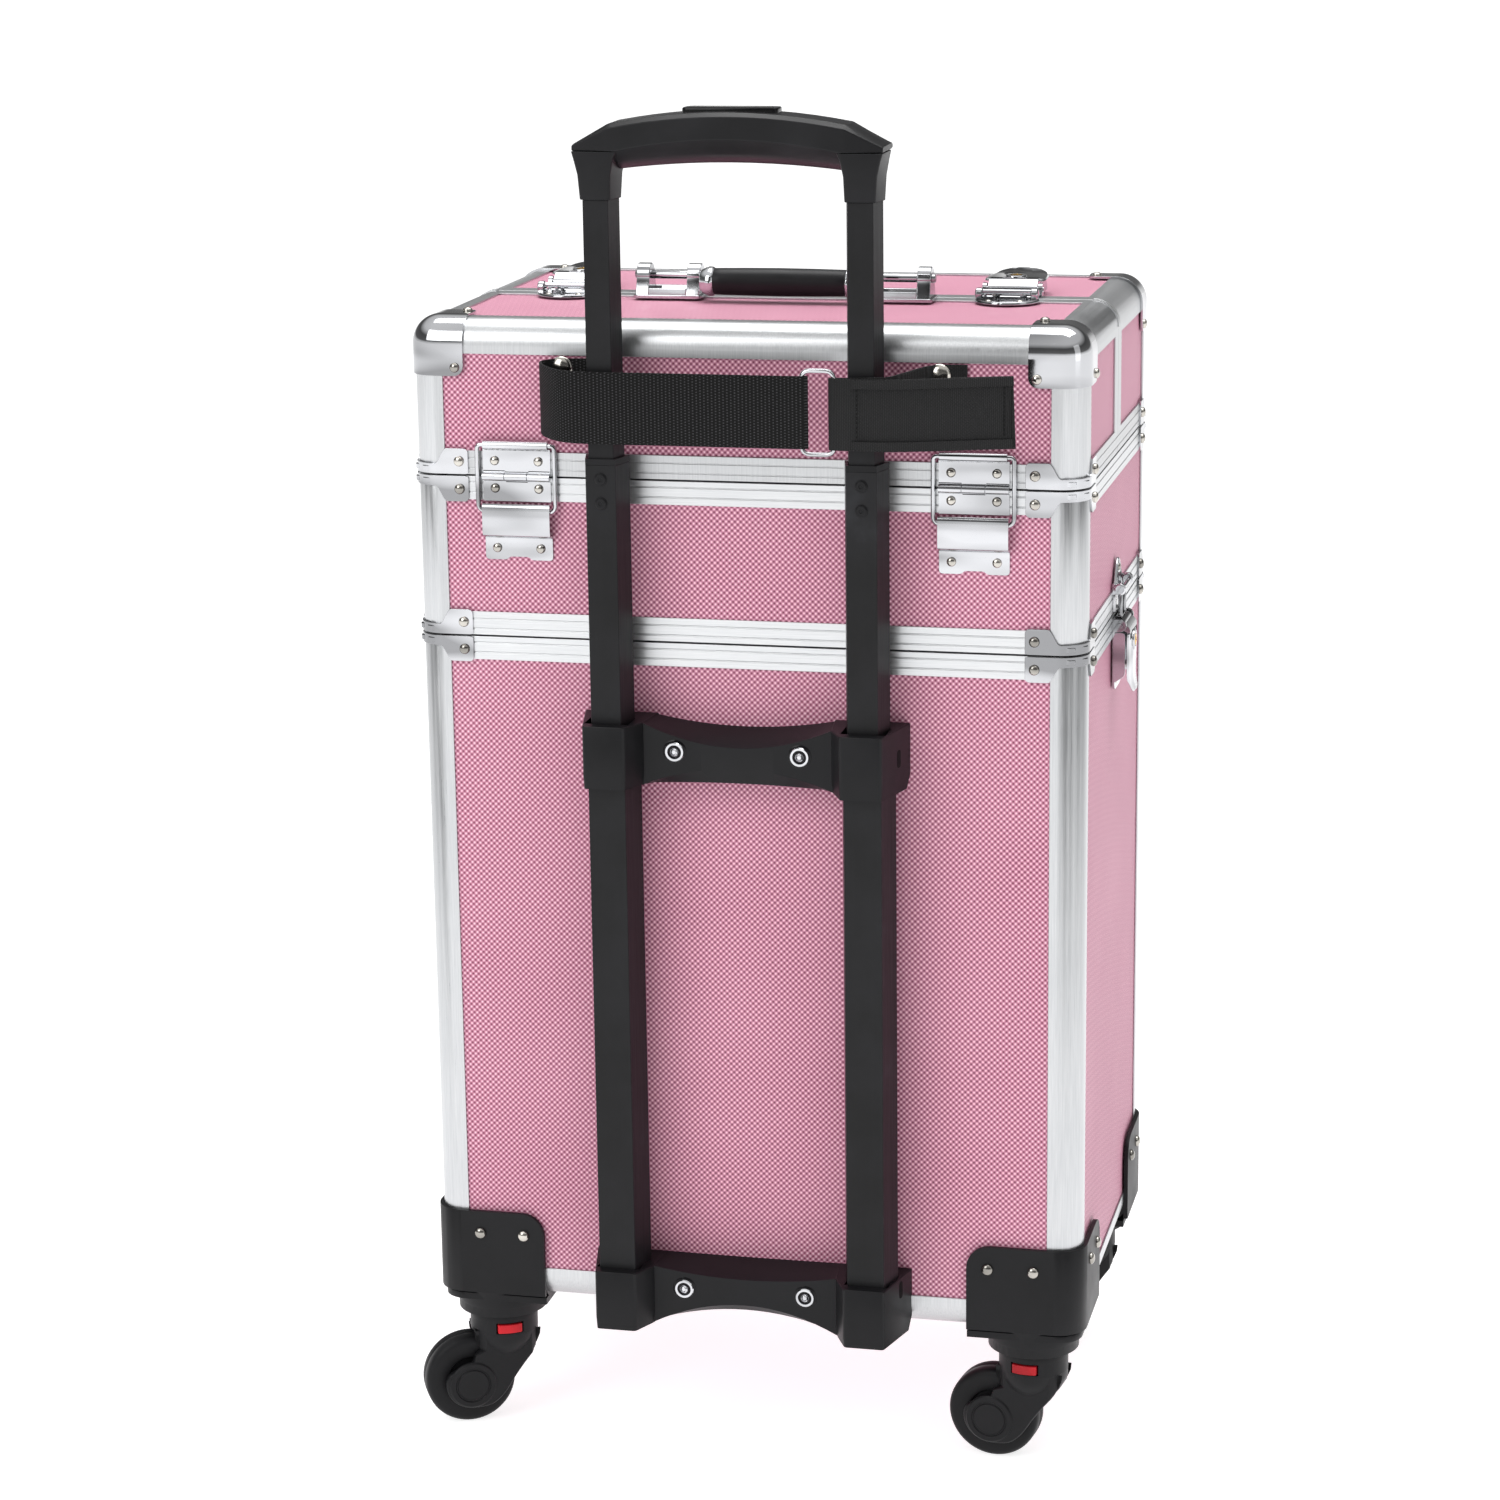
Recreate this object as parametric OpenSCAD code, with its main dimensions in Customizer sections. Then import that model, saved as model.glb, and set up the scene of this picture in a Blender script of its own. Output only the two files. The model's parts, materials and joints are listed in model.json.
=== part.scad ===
// Rolling makeup train case: a trunk on four casters, a lift-off upper case with a
// hinged front lid and trays, and a two-stage trolley handle on the rear panel.
// Millimetres, +Z up, floor at z = 0, trolley side towards -Y.

/* [Case] */
// Width across the corner posts
case_w = 340; // [330:1:350]
// Depth from the rear to the front posts
case_d = 228; // [222:1:234]
// Height of the case's underside above the floor
case_z = 77; // [76:0.5:78]
// Height of the top above the floor
case_top = 593; // [585:1:600]
// Height of the joint between trunk and upper case
seam_low = 433; // [425:1:440]
// Height of the joint between upper case and lids
seam_high = 515; // [510:1:520]
// Shift of the case in Y, so that the whole object is centred on the origin
case_y = 14; // [10:1:18]

/* [Extrusions] */
// Outer radius of the corner posts and edges
post_r = 13; // [10:0.5:14]
// Width of an edge extrusion on each face
flange = 17; // [15:0.5:20]
// Thickness of the extrusion over the panel
skin = 1; // [0.8:0.1:1.4]
// Thickness of the laminated panels
board = 4; // [3:0.5:5]
// Height of the aluminium bands beside each joint
band_h = 12; // [10:0.5:13]
// Gap left at each joint
gap = 0.8; // [0.6:0.1:1]

/* [Trolley] */
// Distance of each trolley tube from the centre
tube_x = 65; // [63:0.5:67]
// Y of the outer tubes' front face, from the case centre
tube_front = -143; // [-144:0.5:-142]
// Height of the top of the outer tubes
outer_top = 385; // [380:1:390]
// Height of the top of the middle tubes
mid_top = 529.5; // [520:0.5:535]
// Height of the lower end of the grip
grip_low = 655.5; // [650:0.5:660]
// Height of the grip's crown
grip_top = 697.5; // [694:0.5:700]

/* [Casters] */
// Distance of the caster stems from the centre in X
stem_x = 143; // [141:1:144]
// Distance of the caster stems from the case centre in Y
stem_y = 90; // [88:1:90]
// Wheel diameter
wheel_d = 48; // [46:1:48]
// Trail of the wheel behind the stem
trail = 20; // [18:1:20]

/* [Strap] */
// Width of the webbing strap
strap_w = 36; // [34:1:38]
// Height of the strap's lower edge
strap_z = 537.5; // [536:0.5:540]

/* [Hidden] */
$fn = 48;

Q = case_w / 2;
P = case_d / 2;
pink = "palevioletred";
alu = "gainsboro";
chrome = "silver";
black = "dimgray";
inside_x = Q - skin - board;
inside_y = P - skin - board;
liner_t = 1;
cap_t = 1.2;
plate_t = 1.1;
plate_len = 29.5;
plate_h = 13.5;
corner_arm = 15;
hinge_x = 115.5;
hinge_y = P + 2.1;
leaf_w = 35;
pin_r = 1;
pin_fit = 0.05;
bail_a = 16;
bail_len = 33.5;
bail_w = 40;
wire_r = 1.2;
tray_l = 70;
tray_tilt = 5;
stud_wall = Q - skin - board - cap_t - 0.1 - liner_t;
// [front width, rear width, depth, front y] of the three tube sections
outer_sec = [18.8, 27.2, 17.6, tube_front];
mid_sec = [15.2, 22.2, 14.6, tube_front + 1.5];
inner_sec = [12.6, 18.2, 11.8, tube_front + 2.9];
// Casters: [x side, y side, swivel angle at rest]
casters = [[-1, -1, 27], [1, -1, -7.5], [-1, 1, 150], [1, 1, 20]];
wheel_r = wheel_d / 2;
wheel_w = 16;
axle_r = 3;
stem_r = 18;
fork_top = 63;
latch_x = 115;

module at_case() translate([0, case_y, 0]) children();
module both_x() { children(); mirror([1, 0, 0]) children(); }
module both_y() { children(); mirror([0, 1, 0]) children(); }
module along_x(l) translate([-l / 2, 0, 0]) rotate([90, 0, 90]) linear_extrude(l) children();
module along_y(l) translate([0, l / 2, 0]) rotate([90, 0, 0]) linear_extrude(l) children();

// Edge profile, outer corner at the origin, inside towards -x and -y
module edge_2d() {
    translate([-post_r, -post_r]) intersection() {
        circle(post_r);
        square(post_r);
    }
    translate([-flange, -skin]) square([flange - post_r, skin]);
    translate([-skin, -flange]) square([skin, flange - post_r]);
}

// A quarter ring of thickness t over the edge's round
module round_2d(t) {
    intersection() {
        difference() {
            circle(post_r + t);
            circle(post_r);
        }
        square(post_r + t);
    }
}

module ball_corner() {
    intersection() {
        sphere(post_r);
        cube(post_r);
    }
}

module post(z0, z1) translate([Q, P, z0]) linear_extrude(z1 - z0) edge_2d();

// A straight band over a panel's edge; top = true puts the web on the panel's upper edge
module band_2d() {
    difference() {
        translate([-skin, -band_h]) square([skin, band_h]);
        for (z = [3.5, 8.5]) translate([-0.3, -z]) square([1, 0.6]);
    }
    translate([-skin - board - cap_t, -cap_t]) square([board + cap_t, cap_t]);
    translate([-skin - board - cap_t, -band_h]) square([cap_t, band_h - cap_t]);
}

module band_loop(z, up) {
    translate([0, 0, z]) mirror([0, 0, up ? 0 : 1]) {
        both_y() translate([0, P, 0]) along_x(2 * (Q - flange)) band_2d();
        both_x() translate([Q, 0, 0]) along_y(2 * (P - flange)) band_2d();
    }
}

module wall_x(z0, z1) translate([-(Q - post_r), P - skin - board, z0])
    cube([2 * (Q - post_r), board, z1 - z0]);
module wall_y(z0, z1, y0, y1) translate([Q - skin - board, y0, z0])
    cube([board, y1 - y0, z1 - z0]);

module rivet(r = 2.7) {
    intersection() {
        translate([0, 0, -r * 0.6]) sphere(r * 1.18, $fn = 24);
        translate([-r * 1.5, -r * 1.5, 0]) cube([r * 3, r * 3, r]);
    }
}
module rivet_y(x, y, z, r = 2.7) translate([x, y, z]) rotate([-90, 0, 0]) rivet(r);
module rivet_x(x, y, z, r = 2.7) translate([x, y, z]) rotate([0, 90, 0]) rivet(r);
module rivet_z(x, y, z, r = 2.7) translate([x, y, z]) rivet(r);

// Sheet-metal plate that wraps a post beside a joint; up is +1 above the joint, -1 below
module corner_plate(z, up) {
    z0 = up > 0 ? z + gap / 2 : z - gap / 2 - plate_h;
    zr = up > 0 ? z0 : z0 + plate_h - 6;
    leaf = plate_len - post_r;
    translate([Q - plate_len, P, z0]) cube([leaf, plate_t, plate_h]);
    translate([Q, P - plate_len, z0]) cube([plate_t, leaf, plate_h]);
    translate([Q - post_r, P - post_r, zr]) linear_extrude(6) round_2d(plate_t);
    zc = z0 + plate_h / 2;
    rivet_y(Q - 25, P + plate_t, zc);
    rivet_x(Q + plate_t, P - 25, zc);
}

// Chrome corner over three edges, outer corner at the origin, inside towards negative
module chrome_corner(t = 1.4) {
    translate([-post_r, -post_r, -post_r]) {
        intersection() {
            difference() {
                sphere(post_r + t);
                sphere(post_r);
            }
            cube(post_r + t);
        }
        translate([-corner_arm, 0, 0]) rotate([90, 0, 90]) linear_extrude(corner_arm) round_2d(t);
        rotate([90, 0, 0]) linear_extrude(corner_arm) round_2d(t);
        translate([0, 0, -corner_arm]) linear_extrude(corner_arm) round_2d(t);
        translate([-corner_arm, post_r, -corner_arm]) cube([corner_arm, t, corner_arm]);
        translate([post_r, -corner_arm, -corner_arm]) cube([t, corner_arm, corner_arm]);
        translate([-corner_arm, -corner_arm, post_r]) cube([corner_arm, corner_arm, t]);
        inset = corner_arm - 4;
        rivet_y(-inset, post_r + t, -inset);
        rivet_x(post_r + t, -inset, -inset);
        rivet_z(-inset, -inset, post_r + t);
    }
}

// ---- trunk
trunk_z = case_z + post_r;
trunk_end = seam_low - gap / 2;

// Flat field of the front panel, clear of the brackets and corner plates
field_x = 111;
field_z = [95, 419];
field_t = 0.02;

module trunk_panels() color(pink) at_case() {
    both_y() wall_x(trunk_z, trunk_end - cap_t);
    both_x() wall_y(trunk_z, trunk_end - cap_t, -(P - post_r), P - post_r);
    translate([-(Q - post_r), -(P - post_r), case_z + skin])
        cube([2 * (Q - post_r), 2 * (P - post_r), board]);
    translate([-field_x, P - skin - 1, field_z[0]])
        cube([2 * field_x, 1 + field_t, field_z[1] - field_z[0]]);
}

module trunk_frame() color(alu) at_case() {
    both_x() both_y() {
        post(trunk_z, trunk_end);
        translate([Q - post_r, P - post_r, trunk_z]) mirror([0, 0, 1]) ball_corner();
    }
    translate([0, 0, case_z]) mirror([0, 0, 1]) {
        both_y() translate([0, P, 0]) along_x(2 * (Q - post_r)) edge_2d();
        both_x() translate([Q, 0, 0]) along_y(2 * (P - post_r)) edge_2d();
    }
}

module trunk_rim() color(alu) at_case() band_loop(trunk_end, true);

module trunk_corner_plates() color(chrome) at_case()
    both_x() both_y() corner_plate(seam_low, -1);

// Inside outline of the case, clear of the corner posts; n is the gap to the posts
module room_2d(x, y, n) {
    difference() {
        square([2 * x, 2 * y], center = true);
        both_x() both_y() translate([Q - post_r - n, P - post_r - n]) square(post_r + n);
    }
}

module liner(z0, z1, x, y) {
    difference() {
        translate([0, 0, z0]) linear_extrude(z1 - z0) room_2d(x, y, 0.1);
        translate([0, 0, z0 + liner_t]) linear_extrude(z1 - z0)
            room_2d(x - liner_t, y - liner_t, 0.1 + liner_t);
    }
}

module trunk_liner() color("black") at_case()
    liner(case_z + post_r + 0.1, trunk_end - band_h - 0.2, inside_x - 0.1, inside_y - 0.1);

// Plastic corner bracket that carries a caster, at the +x +y corner
bracket_len = 58;
bracket_t = 2.3;
bracket_low = 78.5;
bracket_high = 124;
neck_r = 23.5;
neck_low = 63.5;

module bracket_face_2d() {
    difference() {
        square([bracket_len, bracket_high - bracket_low]);
        difference() {
            translate([-1, bracket_high - bracket_low - 12]) square(13);
            translate([12, bracket_high - bracket_low - 12]) circle(12);
        }
    }
}

module caster_bracket() {
    face = bracket_len - post_r;
    translate([Q - bracket_len, P, bracket_low]) rotate([90, 0, 0]) mirror([0, 0, 1])
        linear_extrude(bracket_t) intersection() {
            bracket_face_2d();
            square([face, 100]);
        }
    translate([Q, P - bracket_len, bracket_low]) rotate([90, 0, 90])
        linear_extrude(bracket_t) intersection() {
            bracket_face_2d();
            square([face, 100]);
        }
    translate([Q - post_r, P - post_r, bracket_low])
        linear_extrude(bracket_high - bracket_low) round_2d(bracket_t);
    translate([Q - post_r, P - post_r, case_z + post_r]) mirror([0, 0, 1]) {
        translate([-face, 0, 0]) rotate([90, 0, 90]) linear_extrude(face) round_2d(bracket_t);
        rotate([90, 0, 0]) linear_extrude(face) round_2d(bracket_t);
        intersection() {
            difference() {
                sphere(post_r + bracket_t);
                sphere(post_r);
            }
            cube(post_r + bracket_t);
        }
    }
    difference() {
        union() {
            translate([stem_x, stem_y, neck_low]) cylinder(r = neck_r, h = case_z - neck_low);
            translate([0, 0, 73.5]) linear_extrude(case_z - 73.5) difference() {
                translate([Q - bracket_len, P - bracket_len]) square(bracket_len);
                translate([Q - post_r, P - post_r]) difference() {
                    square(post_r + 1);
                    circle(post_r);
                }
            }
        }
        translate([stem_x, stem_y, neck_low - 1]) cylinder(r = 5 + pin_fit, h = 6.9);
    }
}

module caster_brackets() color(black) at_case() both_x() both_y() caster_bracket();

// ---- trolley
module tube_2d(s, grow = 0) {
    polygon([[-s[0] / 2 - grow, s[3] - grow], [s[0] / 2 + grow, s[3] - grow],
             [s[1] / 2 + grow, s[3] + s[2] + grow], [-s[1] / 2 - grow, s[3] + s[2] + grow]]);
}

module tube_pair(s, wall, z0, z1) at_case() both_x() translate([tube_x, 0, z0])
    linear_extrude(z1 - z0) difference() {
        tube_2d(s);
        tube_2d(s, -wall);
    }

bottom_low = 77;
bottom_high = 108.4;
middle_low = 364.4;
middle_high = 396.4;
collar_front = tube_front - 5.5;
wall = P - skin;
bar_depth = 21;

module outer_tubes() color(black) tube_pair(outer_sec, 1.1, bottom_low + 2, outer_top);

module collar_2d() {
    polygon([[-10.5, collar_front], [10.5, collar_front], [18.3, -wall], [-20, -wall],
             [-17.5, collar_front + 14]]);
}

// Crossbar outline between the collars: concave top by `top`, concave bottom by `dip`
module bar_2d(h, top, dip) {
    half = tube_x - 14;
    rt = (half * half + top * top) / (2 * max(top, 0.1));
    rb = (half * half + dip * dip) / (2 * dip);
    difference() {
        translate([-half, 0]) square([2 * half, h]);
        translate([0, h - top + rt]) circle(rt, $fn = 96);
        translate([0, dip - rb]) circle(rb, $fn = 96);
    }
}

module trolley_bracket(z0, z1, top, dip) {
    both_x() translate([tube_x, 0, z0]) linear_extrude(z1 - z0) collar_2d();
    translate([0, -wall, z0]) rotate([90, 0, 0]) linear_extrude(bar_depth)
        bar_2d(z1 - z0, top, dip);
}

screw_x = 32;
screw_z = [97, 382];

module screw_holes(z) for (x = [-screw_x, screw_x])
    translate([x, -wall, z]) rotate([90, 0, 0]) {
        translate([0, 0, 14]) cylinder(r = 5, h = 10);
        translate([0, 0, -1]) cylinder(r = 2.1, h = 20);
    }

module middle_bracket() color(black) at_case() difference() {
    trolley_bracket(middle_low, middle_high, 5, 3);
    both_x() translate([tube_x, 0, 0]) {
        translate([0, 0, middle_low - 1]) linear_extrude(outer_top - middle_low + 1)
            tube_2d(outer_sec);
        translate([0, 0, middle_low]) linear_extrude(50) tube_2d(mid_sec, 0.5);
    }
    screw_holes(screw_z[1]);
}

module bottom_bracket() color(black) at_case() difference() {
    trolley_bracket(bottom_low, bottom_high, 1.5, 9);
    both_x() translate([tube_x, 0, bottom_low + 2]) linear_extrude(50) tube_2d(outer_sec);
    translate([-Q, -P - 0.02, case_z - 1]) cube([2 * Q, 5, flange + 1.1]);
    screw_holes(screw_z[0]);
}

// Screws with washers that hold the trolley brackets, and rivets of the caster brackets
module trunk_fasteners() color(chrome) at_case() {
    for (z = screw_z) for (x = [-screw_x, screw_x])
        translate([x, -wall - 14, z]) rotate([90, 0, 0]) {
            difference() {
                cylinder(r = 4.8, h = 1);
                translate([0, 0, -1]) cylinder(r = 2.3, h = 3);
            }
            translate([0, 0, 1]) rivet(3);
            translate([0, 0, -14]) cylinder(r = 2, h = 15);
        }
    both_x() both_y() for (d = [23.5, 47]) {
        rivet_y(Q - d, P + bracket_t, 112, 3);
        rivet_x(Q + bracket_t, P - d, 112, 3);
    }
}

mid_len = 317;
inner_len = 305;
module mid_tubes() color(black) tube_pair(mid_sec, 1, mid_top - mid_len, mid_top - 3);

// Plastic caps on the middle tubes, and the rivets that hold them
module mid_tube_caps() color(black) at_case() both_x() translate([tube_x, 0, 0]) {
    translate([0, 0, mid_top - 3]) linear_extrude(3) difference() {
        tube_2d(mid_sec);
        tube_2d(inner_sec, 0.3);
    }
    for (z = [10, 22]) translate([0, mid_sec[3], mid_top - z]) rotate([90, 0, 0])
        cylinder(r = 2.6, h = 0.9);
}

module inner_tubes() color(black)
    tube_pair(inner_sec, 1, grip_low - inner_len, grip_low);

grip_front = tube_front + 1;
grip_rear = -115.5;
grip_inner = 57.5;
button_y = grip_front + 9.5;

module grip_2d() {
    rise_r = (58 * 58 + 5.5 * 5.5) / 11;
    under_r = (grip_inner * grip_inner + 16) / 8;
    difference() {
        union() {
            polygon([[-72, 0], [-73, 27.5], [-58, 36.5], [58, 36.5], [73, 27.5], [72, 0]]);
            intersection() {
                translate([0, 42 - rise_r]) circle(rise_r, $fn = 160);
                translate([-58, 30]) square([116, 20]);
            }
        }
        translate([-grip_inner, -1]) square([2 * grip_inner, 17]);
        intersection() {
            translate([0, 20 - under_r]) circle(under_r, $fn = 160);
            translate([-grip_inner, 10]) square([2 * grip_inner, 20]);
        }
    }
}

module grip() color(black) at_case() difference() {
    translate([0, grip_rear, grip_low]) rotate([90, 0, 0])
        linear_extrude(grip_rear - grip_front) grip_2d();
    translate([-24.5, button_y - 0.5, grip_top - 8]) cube([49, 14, 10]);
}

module release_button() color("black") at_case()
    translate([-24, button_y, grip_top - 4]) cube([48, 13, 5.6]);

// ---- upper case: the tier
tier_z = seam_low + gap / 2;
tier_end = seam_high - gap / 2;

module tier_panels() color(pink) at_case() {
    both_y() wall_x(tier_z + cap_t, tier_end - cap_t);
    both_x() wall_y(tier_z + cap_t, tier_end - cap_t, -(P - post_r), P - post_r);
    translate([0, 0, tier_z + 0.6]) linear_extrude(3)
        room_2d(inside_x - cap_t, inside_y - cap_t, 0);
}

module tier_frame() color(alu) at_case() both_x() both_y() post(tier_z, tier_end);

module tier_rims() color(alu) at_case() {
    band_loop(tier_z, false);
    band_loop(tier_end, true);
}

// Corner plates, and the plates with studs that the tray arms turn on
module tier_fittings() color(chrome) at_case() both_x() both_y() {
    corner_plate(seam_low, 1);
    corner_plate(seam_high, -1);
    translate([stud_wall - 1.1, arm_b[1][0] + tray_l - 8, arm_b[1][1] - 12]) cube([1.1, 27.9, 28]);
    for (b = arm_b) translate([stud_wall - 9, b[0] + tray_l * cos(tray_tilt),
        b[1] - tray_l * sin(tray_tilt)]) rotate([0, 90, 0]) cylinder(r = 1.5, h = 8);
}

module tier_liner() color("black") at_case()
    liner(tier_z + 3.8, tier_end - 1.4, inside_x - cap_t - 0.1, inside_y - cap_t - 0.1);

// ---- lids; each is drawn on the +y side and mirrored for the rear
lid_z = seam_high + gap / 2;
lid_back = gap / 2;
strip_w = 11;

module lid_panels() color(pink) {
    wall_x(lid_z + cap_t, case_top - post_r);
    both_x() wall_y(lid_z + cap_t, case_top - post_r, lid_back + cap_t, P - post_r);
    translate([-(Q - post_r), lid_back + cap_t, case_top - skin - board])
        cube([2 * (Q - post_r), P - post_r - lid_back - cap_t, board]);
}

module lid_frame() color(alu) {
    both_x() {
        post(lid_z, case_top - post_r);
        translate([Q - post_r, P - post_r, case_top - post_r]) ball_corner();
        translate([Q, (lid_back + P - post_r) / 2, case_top])
            along_y(P - post_r - lid_back) edge_2d();
    }
    translate([0, P, case_top]) along_x(2 * (Q - post_r)) edge_2d();
}

module lid_corners() color(chrome) both_x() {
    translate([Q, P, case_top]) chrome_corner();
    corner_plate(seam_high, 1);
}

// Bands along the lid's lower edge and strips beside the joint between the lids
module lid_trim() color(alu) {
    translate([0, P, lid_z]) mirror([0, 0, 1]) along_x(2 * (Q - flange)) band_2d();
    both_x() {
        translate([Q, (lid_back + P - flange) / 2, lid_z]) mirror([0, 0, 1])
            along_y(P - flange - lid_back) band_2d();
        translate([Q - skin - board, lid_back, lid_z + cap_t])
            cube([board, cap_t, case_top - post_r - lid_z - cap_t]);
        translate([Q - skin, lid_back, lid_z + band_h])
            cube([skin, strip_w, case_top - flange - lid_z - band_h]);
        translate([Q - post_r, lid_back + 3, case_top - post_r]) rotate([90, 0, 0])
            linear_extrude(3) round_2d(0.7);
    }
    translate([-(Q - post_r), lid_back, case_top - skin - board])
        cube([2 * (Q - post_r), cap_t, board]);
    translate([-(Q - flange), lid_back, case_top - skin])
        cube([2 * (Q - flange), strip_w, skin]);
}

module rear() mirror([0, 1, 0]) children();

module rear_lid_panels() at_case() rear() lid_panels();
module rear_lid_frame() at_case() rear() {
    lid_frame();
    lid_trim();
}
module rear_lid_corners() at_case() rear() lid_corners();
module front_lid_panels() at_case() lid_panels();
module front_lid_frame() at_case() {
    lid_frame();
    lid_trim();
}
module front_lid_corners() at_case() lid_corners();

// ---- lid hinges with a wire bail that slides under a bridge
knuckle_r = 2.1;

module pin_rod(x, l, r) translate([x, hinge_y, seam_high]) rotate([0, 90, 0]) cylinder(r = r, h = l);

// One leaf: up is +1 or -1; own and other are the [start, length] of the knuckles along X
module leaf(up, h, own, other) {
    difference() {
        union() {
            difference() {
                translate([-leaf_w / 2, P + 0.02, up > 0 ? seam_high + 0.4 : seam_high - h])
                    cube([leaf_w, 1, h - 0.4]);
                for (k = other) pin_rod(k[0] - 0.3, k[1] + 0.6, knuckle_r + 0.3);
            }
            for (k = own) pin_rod(k[0], k[1], knuckle_r);
        }
        pin_rod(-20, 40, pin_r + pin_fit);
    }
    for (x = [-11.3, 11.3]) rivet_y(x, P + 1.02, seam_high + up * (h - 5), 2.4);
}

outer_knuckles = [[-14, 8], [6, 8]];
middle_knuckle = [[-5.6, 11.2]];

module upper_leaf() {
    leaf(1, 12, outer_knuckles, middle_knuckle);
    difference() {
        translate([-16.5, P + 0.02, seam_high + bail_a - 4]) cube([33, 3.9, 6]);
        translate([-18, hinge_y, seam_high + bail_a]) rotate([0, 90, 0])
            cylinder(r = wire_r + pin_fit, h = 36);
    }
}

module lower_leaf() {
    leaf(-1, 12.8, middle_knuckle, outer_knuckles);
    pin_rod(-14, 28, pin_r);
}

// Raised bridge with its lower flange; clear is the height inside
module bridge(clear) {
    z = seam_high - 29.5;
    translate([-leaf_w / 2, P - skin, z]) {
        translate([0, clear + skin, 0]) cube([leaf_w, 1, 15.5]);
        translate([0, 0, -1]) cube([leaf_w, clear + skin + 1, 1]);
        translate([0, 0, -13]) difference() {
            cube([leaf_w, 1, 12]);
            translate([leaf_w / 2 - 6, -1, -1]) cube([12, 3, 4]);
        }
    }
    for (x = [-11.3, 11.3]) rivet_y(x, P, z - 7, 2.4);
}

module bail() translate([0, hinge_y, seam_high + bail_a]) {
    for (x = [-bail_w / 2, bail_w / 2]) translate([x, 0, -bail_len])
        cylinder(r = wire_r, h = bail_len, $fn = 24);
    for (z = [0, -bail_len]) translate([-bail_w / 2, 0, z]) {
        rotate([0, 90, 0]) cylinder(r = wire_r, h = bail_w, $fn = 24);
        for (x = [0, bail_w]) translate([x, 0, 0]) sphere(wire_r, $fn = 24);
    }
}

module pair() for (x = [-hinge_x, hinge_x]) translate([x, 0, 0]) children();

module rear_hinges() color(chrome) at_case() rear() pair() {
    upper_leaf();
    lower_leaf();
    bridge(4);
}
module rear_bails() color(chrome) at_case() rear() pair() bail();
module front_hinge_leaves() color(chrome) at_case() pair() upper_leaf();
module front_hinge_bases() color(chrome) at_case() pair() {
    lower_leaf();
    bridge(6);
}
module front_bails() color(chrome) at_case() pair() bail();

// ---- webbing strap round the tubes
strap_t = 1.6;
strap_in = tube_front - 0.8;
ring_wire = 1.05;
left_path = [[-84, -P], [-98, -P - 0.6], [-104, -P - 3.5], [-103.5, -P - 8], [-97, strap_in + 3],
             [-90, strap_in], [-78, strap_in - 0.4], [36, strap_in - 0.4]];
right_path = [[106, -P], [96, -P - 0.8], [90, -P - 5], [86, strap_in + 9], [82, strap_in + 2],
              [76, strap_in], [48, strap_in], [45.2, strap_in - 1.9], [48, strap_in - 3.8],
              [80, strap_in - 3.8], [94, strap_in + 1], [108, strap_in + 13],
              [122, -P - 5], [139, -P - 3]];

function turn(v) = [-v[1], v[0]] / norm(v);
function side_of(p, i) = turn(p[min(i + 1, len(p) - 1)] - p[max(i - 1, 0)]);
function ribbon(p, t) = concat([for (i = [0:len(p) - 1]) p[i] + side_of(p, i) * t / 2],
                               [for (i = [len(p) - 1:-1:0]) p[i] - side_of(p, i) * t / 2]);

module strap_left() color("black") at_case() translate([0, -0.9, strap_z])
    linear_extrude(strap_w) polygon(ribbon(left_path, strap_t));
module strap_right() color("black") at_case() translate([0, -0.9, strap_z])
    linear_extrude(strap_w) polygon(ribbon(right_path, strap_t));

module strap_ring() color(chrome) at_case() {
    ring_z = [strap_z - 2.5, strap_z + strap_w + 2.5];
    y = strap_in - 2.8;
    for (x = [38.5, 50.5]) translate([x, y, ring_z[0]])
        cylinder(r = ring_wire, h = ring_z[1] - ring_z[0]);
    for (z = ring_z) translate([38.5, y, z]) rotate([0, 90, 0]) cylinder(r = ring_wire, h = 12);
    for (x = [38.5, 50.5]) for (z = ring_z) translate([x, y, z]) sphere(ring_wire);
}

// ---- carry handle on the rear lid's strip
handle_y = -14;
handle_z = 604.4;
handle_pin = 2.2;
grip_y = -24;
grip_z = 602.5;

module handle_bracket() {
    translate([42, handle_y - 10, case_top]) cube([36, 20, 3]);
    for (x = [42, 68]) difference() {
        translate([x, 0, 0]) rotate([90, 0, 90]) linear_extrude(10) union() {
            translate([handle_y - 6, case_top + 3]) square([12, handle_z - case_top - 3]);
            translate([handle_y, handle_z]) circle(6);
        }
        translate([x - 1, handle_y, handle_z]) rotate([0, 90, 0])
            cylinder(r = handle_pin + pin_fit, h = 12);
    }
}
module handle_brackets() color(chrome) at_case() both_x() handle_bracket();

module carry_handle() color(chrome) at_case() both_x() {
    translate([37, handle_y, handle_z]) rotate([0, 90, 0]) cylinder(r = handle_pin, h = 41.5);
    translate([37, 0, 0]) rotate([90, 0, 90]) linear_extrude(4.4) union() {
        translate([grip_y, grip_z]) circle(6);
        translate([handle_y, handle_z]) circle(4);
        polygon([[handle_y, handle_z + 4], [grip_y, grip_z + 6], [grip_y, grip_z - 6],
                 [handle_y, handle_z - 4]]);
    }
}

module carry_grip() color("black") at_case() translate([-37, grip_y, grip_z]) rotate([0, 90, 0]) {
    cylinder(r = 7.2, h = 74);
}

// ---- latches, in (u, v, w): u towards the catch, v across, w outward
module on_top(x) at_case() translate([x, 0, case_top]) rotate([0, 0, -90]) children();
module on_side(s) at_case() translate([s * Q, 0, seam_low])
    multmatrix([[0, 0, s, 0], [0, 1, 0, 0], [1, 0, 0, 0], [0, 0, 0, 1]]) children();

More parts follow.
